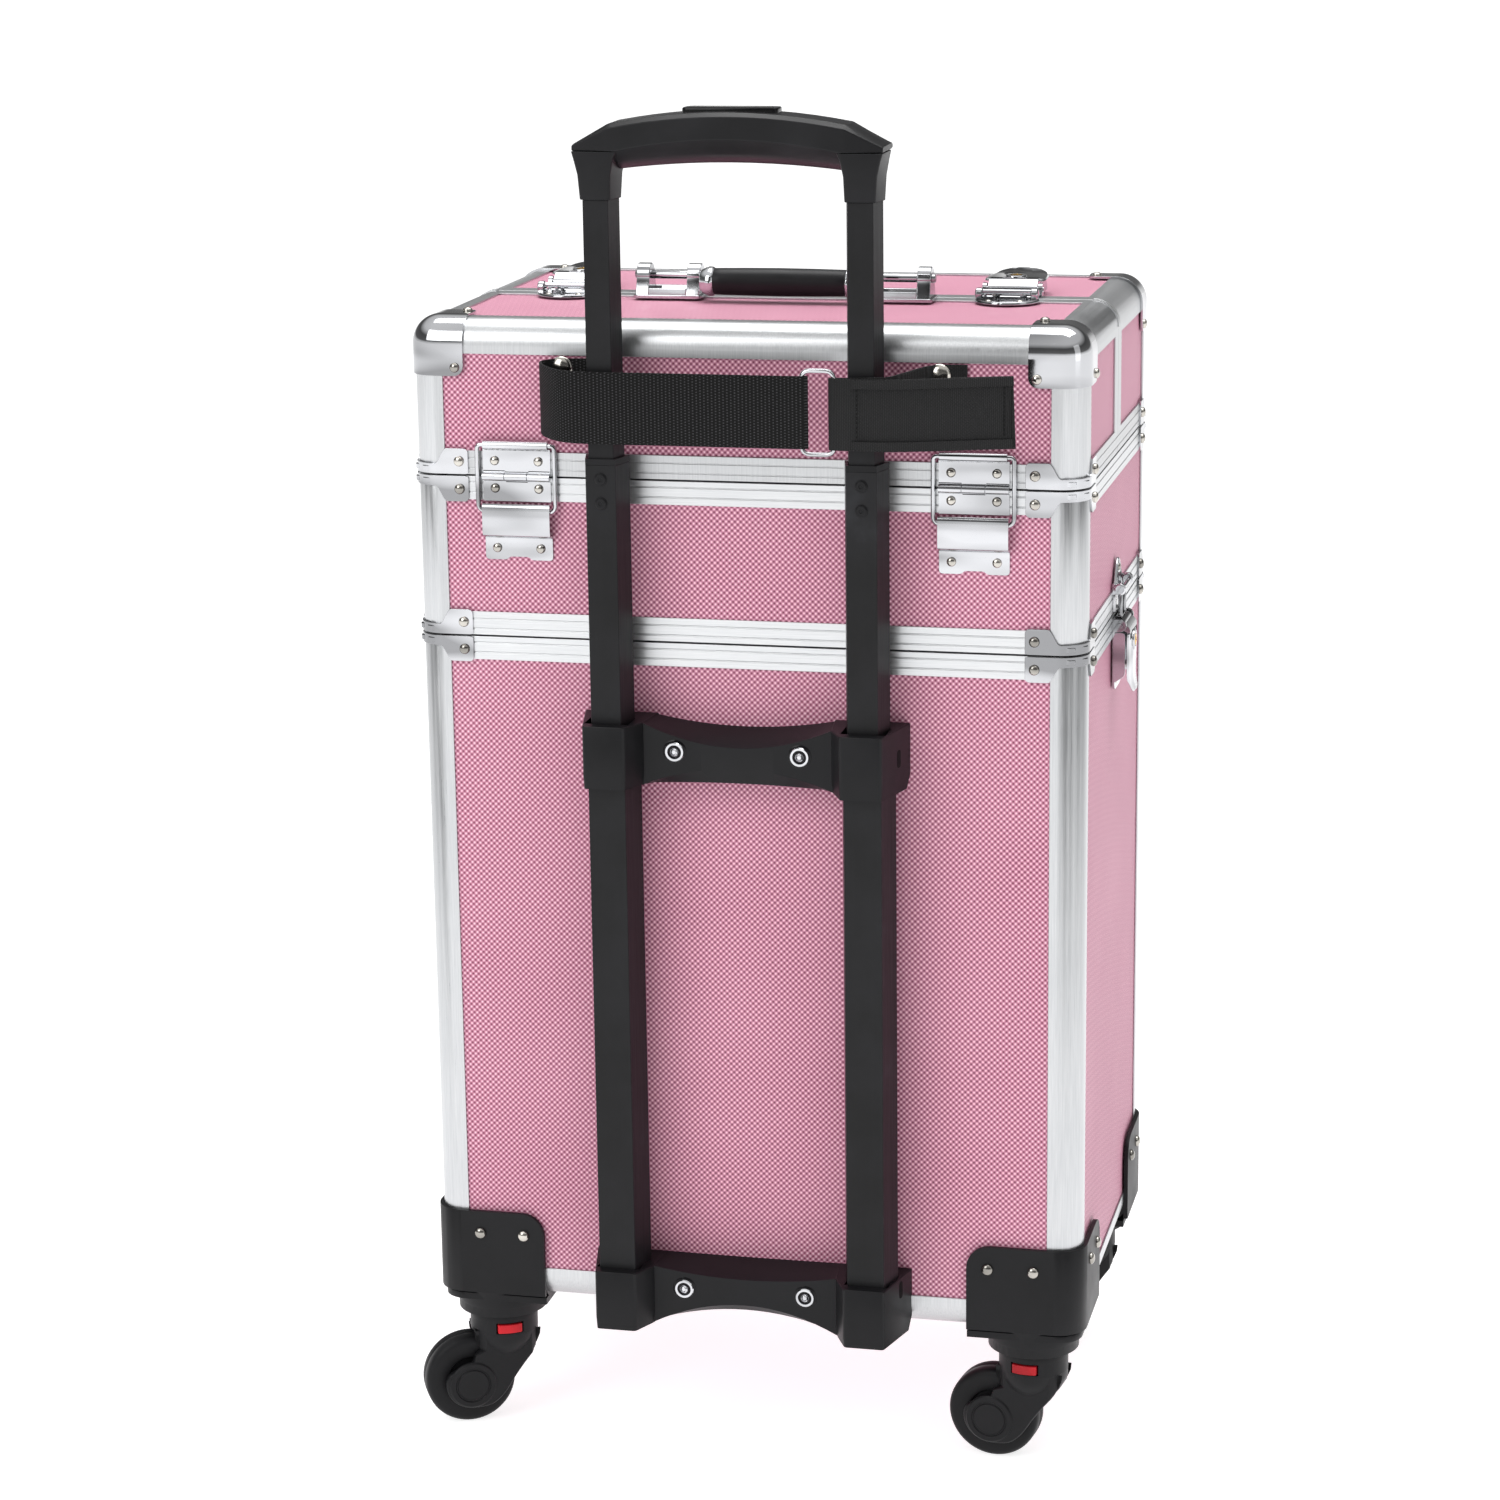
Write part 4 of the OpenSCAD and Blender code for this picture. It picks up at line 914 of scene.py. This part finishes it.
def make_brackets():
    """Both brackets with their screws, painted shadows for their key slots, and the rivets of casters
    and tubes.
    """
    for name, front_dip, back_dip in (("middle_bracket", (9.8, 11.4), (0.5, 5.2)),
                                      ("bottom_bracket", (13, 4.5), (8.5, 0.3))):
        low, high = span(name, 2)
        shape = Shape()
        collar(shape, low, high)
        shape.mirrored(0)
        bracket_bar(shape, low, high, front_dip, back_dip)
        shape.make(name + "_moulding", PLASTIC, "trunk", [name], "moulding", 0.9, 30)
    screws, seats = Shape(), Shape()
    for z in SCREW_Z:
        for x in (-SCREW_X, SCREW_X):
            m = place((x, BAR_FRONT + 0.3, z), *REAR)
            seats.lathe([(6.1, -1), (6.1, 0.4), (5.3, 0.75), (0.01, 0.75)], m, 28)
            screws.lathe([(3.3, 0.2), (4.9, 0.2), (5.0, 1.3), (4.6, 1.8), (3.6, 1.8), (3.3, 1.4)], m,
                         32, True)
            screws.lathe([(2.2, 0), (2.3, 1.2), (2.0, 2.2), (1.2, 2.8), (0.9, 2.2), (0.01, 2.2)], m, 24)
    seats.make("screw_seats", GLOSS, "trunk", bevel=0)
    screws.make("bracket_screw_heads", CHROME, "trunk", bevel=0)
    rivets = Shape()
    plate_t, rivet_z, rivet_r = 2.4, 112, 3.1
    for inset in (23.5, 47):
        rivets.rivet((HALF_W - inset, HALF_D + plate_t, rivet_z), (0, 1, 0), rivet_r)
        rivets.rivet((HALF_W + plate_t, HALF_D - inset, rivet_z), (1, 0, 0), rivet_r)
    rivets.mirrored(0, 1)
    rivets.make("caster_bracket_rivets", NICKEL, "trunk", ["trunk_fasteners"], "hardware", 0)
    heads = Shape()
    top = span("mid_tube_caps", 2)[1]
    front = span("mid_tubes", 1)[0] - CASE_Y
    for z in (top - 10, top - 22):
        heads.lathe([(2.9, -1), (2.9, 0.7), (2.3, 1.2), (1.1, 1.2), (0.8, 0.7), (0.01, 0.7)],
                    place((TUBE_X, front, z), *REAR), 24)
    heads.mirrored(0).make("tube_rivets", PLASTIC, "mid_stage", bevel=0)

    # painted shadow: the key slots on the collars' outer faces are drawn as inlaid near-black plugs
    # that stand in for the shade inside the slots
    slots = Shape()
    outer_face = ((18.4 - 10.5, WALL_Y - COLLAR_FRONT, 0), (0, 0, 1))
    middle = (TUBE_X + 15.2, COLLAR_FRONT + (WALL_Y - COLLAR_FRONT) * 0.6)
    key = rounded(rect(-1.9, -4.5, 1.9, 4.5), 1.8)
    for z in (span("bottom_bracket", 2)[0] + 25, sum(span("middle_bracket", 2)) / 2 + 1):
        slots.slab(key, 0.5, place((*middle, z), *outer_face), -0.32)
    slots.mirrored(0).make("collar_key_slot_shadows", SLOT_SHADOW, "trunk", bevel=0)


# ---- carry handle
HANDLE_Y = PIVOTS["carry_handle_swing"]["pos_m"][1] / MM - CASE_Y
HANDLE_Z = PIVOTS["carry_handle_swing"]["pos_m"][2] / MM
GRIP_Y = sum(span("carry_grip", 1)) / 2 - CASE_Y
GRIP_Z = sum(span("carry_grip", 2)) / 2


def make_handle():
    """The carry handle: two forked feet, the arms on their pins and the barrel grip."""
    feet = Shape()
    near, far, deep = 42, 78, 10
    base = rounded(rect(near, HANDLE_Y - deep, far, HANDLE_Y + deep), 3)
    feet.slab(base, 2, place((0, 0, CASE_TOP), *TOP))
    lug = [(HANDLE_Y - 9, CASE_TOP), (HANDLE_Y - 8.4, CASE_TOP + 3)]
    lug += arc(HANDLE_Y, HANDLE_Z, 6, 195, -15, 18)
    lug += [(HANDLE_Y + 8.4, CASE_TOP + 3), (HANDLE_Y + 9, CASE_TOP)]
    for x in (43.2, 69.8):
        feet.slab(lug, 7, place((x, 0, 0), *CROSS))
    low = [(HANDLE_Y - 8.8, CASE_TOP + 1), (HANDLE_Y - 8.6, CASE_TOP + 5.2),
           (HANDLE_Y - 6.6, CASE_TOP + 5.2), (HANDLE_Y - 5.5, CASE_TOP + 2),
           (HANDLE_Y + 5.5, CASE_TOP + 2), (HANDLE_Y + 6.6, CASE_TOP + 5.2),
           (HANDLE_Y + 8.6, CASE_TOP + 5.2), (HANDLE_Y + 8.8, CASE_TOP + 1)]
    feet.slab(low, 20, place((50, 0, 0), *CROSS))
    feet.mirrored(0)
    feet.make("handle_feet", CHROME, "upper_case", ["handle_brackets"], "hardware", 0.5)

    arms = Shape()
    turn = place((37, HANDLE_Y, HANDLE_Z), *CROSS)
    arms.lathe([(0.01, 0), (2.2, 0), (2.2, 41), (1.8, 41.6), (0.01, 41.6)], turn, 24)
    reach = Vector((GRIP_Y - HANDLE_Y, GRIP_Z - HANDLE_Z))
    tilt = math.degrees(math.atan2(reach.y, reach.x))
    link = arc(HANDLE_Y, HANDLE_Z, 4, tilt + 60, tilt + 300, 12)
    link += arc(GRIP_Y, GRIP_Z, 5.6, tilt - 70, tilt + 70, 12)
    arms.slab(link, 4.2, place((37.2, 0, 0), *CROSS))
    arms.lathe([(0.01, 34), (6.6, 34), (7.5, 35), (7.6, 37), (7.0, 38.4), (6.2, 40.6), (4.8, 41.8),
                (0.01, 42)], place((0, GRIP_Y, GRIP_Z), *CROSS), 32)
    arms.mirrored(0)
    arms.make("handle_arms", CHROME, "handle", ["carry_handle"], "hardware", 0.3)

    barrel = Shape()
    stations = [(-36, 6.3), (-35.2, 6.9), (-30, 7.0), (-18, 7.2), (0, 7.35), (18, 7.2), (30, 7.0),
                (35.2, 6.9), (36, 6.3)]
    barrel.loft([[(x, GRIP_Y + r * math.cos(a), GRIP_Z + r * math.sin(a) * 0.98)
                  for a in (2 * math.pi * k / 36 for k in range(36))] for x, r in stations])
    barrel.make("handle_barrel", GRIP, "handle", ["carry_grip"], "grip_cover", 0.4)


# ---- latches, in (u, v, w): u towards the catch, v across, w outward
LATCH_X = 115
LEVER_U = -5
LEVER_W = 4.2
LEVER_END = -41
ROLLER_U = 14
BASE_T = 1.2
PLATE_TOP = LEVER_W + 5


def on_top(x):
    """Takes latch coordinates to the lid's top; u points to the rear."""
    return Matrix(((0, 1, 0, x), (-1, 0, 0, 0), (0, 0, 1, CASE_TOP), (0, 0, 0, 1)))


def on_side(side):
    """Takes latch coordinates to a side wall; u points up."""
    return Matrix(((0, 0, side, side * HALF_W), (0, 1, 0, 0), (1, 0, 0, SEAM_LOW), (0, 0, 0, 1)))


def catch(shape, rivets, frame_of, pointed):
    """A stamped plate with two stub rollers and the bar that the latch closes on."""
    if pointed:
        outline = rounded([(1.2, -13), (11, -13), (20, -8.6), (25.5, -4.2), (28.6, 0), (25.5, 4.2),
                           (20, 8.6), (11, 13), (1.2, 13)], [1, 4, 6, 3, 2.5, 3, 6, 4, 1])
    else:
        outline = [(1.2, -13.5)] + arc(11, 0, 17, -82, 82, 30) + [(1.2, 13.5)]
    middle = Vector((13, 0))
    rings = []
    for scale, w in ((1, 0), (1, 0.9), (0.975, 1.5), (0.93, 1.6), (0.9, 1.25), (0.88, 1.2)):
        rings.append([(*(middle + (Vector(p) - middle) * scale), w) for p in outline])
    shape.loft(rings, frame_of)
    for v in (-16, 12.2):
        m = frame_of @ place((ROLLER_U, v, 4), *REAR) @ Matrix.Rotation(math.pi, 4, "X")
        shape.lathe([(0.01, 0), (2.4, 0), (3.1, 0.6), (3.1, 3.2), (2.4, 3.8), (0.01, 3.8)], m, 24)
        shape.slab(rounded([(10.9, 0), (17.1, 0), (16.2, 4.4), (11.8, 4.4)], 0.8), 2.8,
                   frame_of @ place((0, v + 3.3, 0), *REAR))
    shape.lathe(pin(1.2, -13, 13), frame_of @ place((ROLLER_U, 0, 5.2), *REAR), 16)
    for v in (0,) if pointed else (-8, 8):
        put_rivet(rivets, frame_of, (23, v, BASE_T))


def put_rivet(rivets, frame_of, spot, r=1.9):
    """A low rivet head at a spot in latch coordinates."""
    dome = [(r * math.sin(math.radians(a)), r * 0.6 * math.cos(math.radians(a)))
            for a in (90, 70, 50, 30, 12)]
    rivets.lathe([(r, -0.4)] + dome + [(0.01, r * 0.6)],
                 frame_of @ Matrix.Translation(Vector(spot)), 20)


def latch_base(shape, rivets, frame_of):
    """Base plate with its ears, cheeks and the two draw rods."""
    plate = rounded([(LEVER_END + 1, -12), (-1.3, -12.9), (-1.3, 12.9), (LEVER_END + 1, 12)],
                    [5, 1, 1, 5])
    shape.slab(plate, BASE_T, frame_of)
    for v in (-13.2, 15.4):
        ear = [(LEVER_U - 3.5, 0), (LEVER_U + 3.4, 0)] + arc(LEVER_U, LEVER_W, 3.2, 0, 180, 14)
        shape.slab(ear, 2.2, frame_of @ place((0, v, 0), *REAR))
    for v in (-12.2, 13):
        wall = rounded([(LEVER_END + 5, 0.6), (-9.2, 0.6), (-9.2, 6.6), (LEVER_END + 9, 6.6)], 2)
        shape.slab(wall, 0.8, frame_of @ place((0, v, 0), *REAR))
    shape.slab(rounded(rect(-2.2, 0, -1.3, 4.3), 0.2), 18, frame_of @ place((0, 9, 0), *REAR))
    for v in (-7, 7):
        m = frame_of @ place((-2, v, 3.2), *CROSS)
        shape.lathe([(0.01, 0), (1.15, 0), (1.15, 13.2), (0.7, 13.9), (0.01, 13.9)], m, 16)
        put_rivet(rivets, frame_of, (-35, v, BASE_T))


def lever(shape, key, frame_of):
    """The cover plate: a barrel on its pin, a crowned plate and a lip that turns outward."""
    turn = frame_of @ place((LEVER_U, 0, LEVER_W), *REAR)
    shape.lathe(pin(2.5, -12.7, 12.7), turn, 24)
    shape.lathe([(0.01, -15.9), (1.3, -15.9), (1.5, -15.2), (1.5, 15.2), (1.3, 15.9), (0.01, 15.9)],
                turn, 20)
    web = [(0.6, 2.4), (-1.6, 4.4), (-2.8, 5), (-8, 5), (-8, 3.4), (-4, 3.4), (-2.4, -0.4)]
    shape.slab(web, 25.2, frame_of @ place((LEVER_U, 12.6, LEVER_W), *REAR))
    rings = []
    spots = ((-9.6, 14.6, 0), (-9.9, 15.3, 0), (-12, 15.7, 0), (-22, 15.4, 0), (-30, 14.6, 0),
             (-34, 13.6, 0.05), (-36.5, 12.6, 0.4), (-38.5, 11.2, 0.9), (-40.2, 9.2, 1.4),
             (-41, 7.2, 1.6))
    for u, half, lift in spots:
        curl = 1.3 if lift < 0.2 else 0.4
        ring = [(-half, -curl), (-half + 0.5, -0.35), (-half * 0.8, 0), (-half * 0.42, 0),
                (-half * 0.36, 0.35), (half * 0.36, 0.35), (half * 0.42, 0), (half * 0.8, 0),
                (half - 0.5, -0.35), (half, -curl), (half - 1, -curl - 0.3), (half * 0.7, -1.4),
                (0, -1.4), (-half * 0.7, -1.4), (-half + 1, -curl - 0.3)]
        rings.append([(u, v, PLATE_TOP + lift + w) for v, w in ring])
    shape.loft(rings, frame_of)
    on_plate = frame_of @ Matrix.Translation((-15, 0, PLATE_TOP))
    boss = [(5.6, 0.1), (5.4, 0.9), (4.8, 1.2), (3.5, 1.2), (3.3, 0.8)]
    shape.lathe(boss + [(0.01, 0.8)], on_plate, 28)
    key.lathe([(3.2, 0.4), (3.1, 1.25), (2.5, 1.45), (1.3, 1.45), (1.2, 0.9), (0.01, 0.9)],
              on_plate, 28)


def make_latches():
    """Catches on the upper case, and base, lever and keyhole of all four latches."""
    catches, rivets = Shape(), Shape()
    for x in (-LATCH_X, LATCH_X):
        catch(catches, rivets, on_top(x), False)
    for side in (-1, 1):
        catch(catches, rivets, on_side(side), True)
    make_plated(catches, rivets, "catch", "upper_case", "latch_catches")
    sets = (("top", "front_lid", on_top(-LATCH_X), on_top(LATCH_X)),
            ("side", "trunk", on_side(-1), on_side(1)))
    for kind, body, *places in sets:
        bases, rivets = Shape(), Shape()
        for side, frame_of in zip(("left", "right"), places):
            latch_base(bases, rivets, frame_of)
            plate, key = Shape(), Shape()
            lever(plate, key, frame_of)
            rider = f"{kind}_lever_{side}"
            plate.make(f"{kind}_lever_plate_{side}", CHROME, rider, [f"{kind}_latch_{side}"],
                       "hardware", 0.15)
            key.make(f"{kind}_keyhole_{side}", BRASS, rider, bevel=0)
        make_plated(bases, rivets, f"{kind}_latch", body, f"{kind}_latch_bases", bevel=0.15)


# ---- casters, drawn with the stem at the origin and the wheel behind it on -x
TRAIL = 20
WHEEL_R = 24
STEM_R = 18
SHOULDER_R = 17.9
TAB_Z = 52.3
NECK_Z = 63.5


def make_fork(name, m):
    """Stem with the tab's slot, two arms round the wheel, the fender and the axle pin."""
    body = Shape()
    slot = TAB_Z - 0.4, TAB_Z + 5.6
    lower = [(0.01, 49.8), (17.2, 49.8), (STEM_R, 50.4), (STEM_R, slot[0]), (0.01, slot[0])]
    upper = [(0.01, slot[1]), (STEM_R, slot[1]), (18.2, 61), (17.6, 62.6), (5, 63), (5, 69), (0.01, 69)]
    for profile in (lower, upper):
        body.lathe(profile, m, 56)
    wedge = arc(0, 0, STEM_R, -66, 246, 48) + arc(0, 0, 12, 246, -66, 30)
    body.slab(wedge, slot[1] - slot[0] + 0.2, m, slot[0] - 0.1)
    for side in (-1, 1):
        body.loft([[(x, side * max(y, 9), z) for x, y in arc(0, 0, r, 0, 180, 24)]
                   for z, r in ((50.6, STEM_R), (47, 17.6), (43, 15.9), (39.5, 13.6), (36.5, 11.2),
                                (34, 9.6))], m)
    arm = [(18.5, 52), (18.1, 47), (16.1, 42.4), (12.9, 38), (9.3, 33.6), (5.8, 29), (2.4, 24.2),
           (-1, 18.8), (-5, 14), (-10, 10.6), (-17, 9.6), (-24, 10.2), (-30, 13.6), (-33.6, 19.2),
           (-34.2, 25.6), (-31.5, 30), (-26, 31.6), (-21.6, 33.6), (-18.6, 37.6),
           (-17.8, 44), (-17.8, 52)]
    arm = [tuple(p) for p in smooth([(x, z) for x, z in arm], 3)]
    middle = Vector((-8, 34))
    for side in (-1, 1):
        rings = []
        for scale, depth in ((0.965, 9.2), (1, 10), (1, 12), (0.985, 12.7), (0.955, 13.1)):
            reach = math.sqrt(SHOULDER_R ** 2 - depth ** 2)
            outline = [middle + (Vector(p) - middle) * scale for p in arm]
            outline = [Vector((min(p.x, reach) if p.y < 40 else max(min(p.x, reach), -reach), p.y))
                       for p in outline]
            rings.append([(p.x, side * depth, p.y) for p in outline])
        body.loft(rings, m)
        face = place((-TRAIL, side * 12.9, 23), (1, 0, 0), (0, 0, -side))
        body.lathe([(12.8, -1), (12.8, 0.3), (12, 0.9), (9.6, 1), (9.2, 0.5), (8.6, 0.5), (8.2, 1),
                    (0.01, 1.05)], m @ face, 40)
    fender = [(18.3, 52), (18, 47), (16, 42.4), (12.8, 38), (9.2, 33.6), (6.6, 30.2)]
    fender += arc(-TRAIL, WHEEL_R, 25.8, 11, 84, 16)
    fender += [(-17.4, 52)]
    body.loft([[(min(x, math.sqrt(SHOULDER_R ** 2 - y ** 2)), y, z) for x, z in fender]
               for y in (-9.5, -7, -3.5, 0, 3.5, 7, 9.5)], m)
    body.lathe(pin(3, -12.8, 12.8), m @ place((-TRAIL, 0, WHEEL_R), *REAR), 24)
    body.make(f"fork_body_{name}", PLASTIC, f"fork_{name}", [f"fork_{name}"], "moulding", 0.6, 34)


def make_wheel(name, m):
    """Tyre and hub in one, bored for the axle pin."""
    half = 8
    tread = [(3.05, -6), (12, -6), (13, half * -0.94), (17.6, -half), (20.4, -half)]
    tread += [(20.6 + 3.4 * math.cos(math.radians(a)), -4.4 + 3.6 * math.sin(math.radians(a)))
              for a in (-75, -55, -35, -15)]
    tread += [(24, -3.4), (24, -0.4), (23.7, 0)]
    tread += [(r, -z) for r, z in reversed(tread[:-1])]
    wheel = Shape()
    wheel.lathe(tread, m @ place((-TRAIL, 0, WHEEL_R), *REAR), 72, True)
    wheel.make(f"tyre_{name}", RUBBER, f"wheel_{name}", [f"wheel_{name}"], "wheel", 0)


def make_tab(name, m):
    """The red brake tab in the stem's slot."""
    tab = Shape()
    outline = arc(0, 0, 18.9, -110, -70, 10) + arc(0, 0, 13.8, -62, -118, 8)
    tab.slab(outline, 5, m, TAB_Z + 0.1)
    tab.make(f"brake_tab_{name}", RED, f"tab_{name}", [f"tab_{name}"], "brake_tab", 0.5)


def make_casters():
    """Every caster turned as its swivel joint stands at rest, and the fixed necks."""
    necks = Shape()
    for name in ("rear_left", "rear_right", "front_left", "front_right"):
        x, y, _ = PIVOTS["swivel_" + name]["pos_m"]
        axle = PIVOTS["roll_" + name]["axis"]
        turn = math.atan2(-axle[0], axle[1])
        stem = Matrix.Translation((x / MM, y / MM - CASE_Y, 0))
        m = stem @ Matrix.Rotation(turn, 4, "Z")
        make_fork(name, m)
        make_wheel(name, m)
        make_tab(name, m)
        necks.lathe([(5.2, NECK_Z), (19.6, NECK_Z), (21.4, NECK_Z + 0.8), (23, NECK_Z + 3),
                     (23.9, NECK_Z + 6), (24.1, NECK_Z + 9), (24.6, 76), (25.6, 79.5), (5.2, 79.5)],
                    stem, 56, True)
    necks.make("caster_necks", PLASTIC, "trunk", bevel=0.3)


for draw in (make_corners, make_hinges, make_tray_studs, make_strap, make_grip, make_brackets,
             make_handle, make_latches, make_casters):
    draw()


# ---- stage and light
def soft_light(name, place, target, size, power):
    data = bpy.data.lights.new(name, "AREA")
    data.shape = "RECTANGLE"
    data.size, data.size_y = size
    data.energy = power
    light = bpy.data.objects.new(name, data)
    light.location = place
    light.rotation_euler = (Vector(target) - Vector(place)).to_track_quat("-Z", "Y").to_euler()
    scene.collection.objects.link(light)


def studio():
    """A pale floor out to the horizon, a grey world with a dark band, and three soft lights."""
    mesh = bpy.data.meshes.new("floor")
    reach = 80
    mesh.from_pydata([(-reach, -reach, 0), (reach, -reach, 0), (reach, reach, 0), (-reach, reach, 0)],
                     [], [(0, 1, 2, 3)])
    n = Nodes("pale_floor")
    pale = n.ramp(n.noise(n.coords(), 3, 2), (0.3, rgb(196, 196, 197)), (0.7, rgb(200, 200, 201)))
    n.set(Base_Color=pale, Roughness=0.8, Emission_Color=(1, 1, 1, 1), Emission_Strength=0.78)
    mesh.materials.append(n.material)
    floor = bpy.data.objects.new("floor", mesh)
    scene.collection.objects.link(floor)

    # bright at the horizon and overhead, dark between, so that chrome shows dark bands
    world = bpy.data.worlds.new("studio")
    n = Nodes("studio", world)
    height = n.split(n.coords("Generated"))[2]
    n.set(Strength=0.8, Color=n.ramp(height, (0.0, 1.2), (0.04, 1.1), (0.12, 0.2), (0.42, 0.12),
                                     (0.66, 1.0), (1.0, 1.25)))
    scene.world = world
    soft_light("key", (-1.6, -2.6, 2.2), (0, 0, 0.35), (1.9, 2.2), 46)
    soft_light("fill", (2.7, -1.3, 1.2), (0, 0, 0.35), (1.2, 2.2), 5)
    soft_light("top", (0.1, 0.4, 2.6), (0, 0, 0.4), (2.0, 1.4), 40)
    scene.view_settings.view_transform = "Standard"


studio()
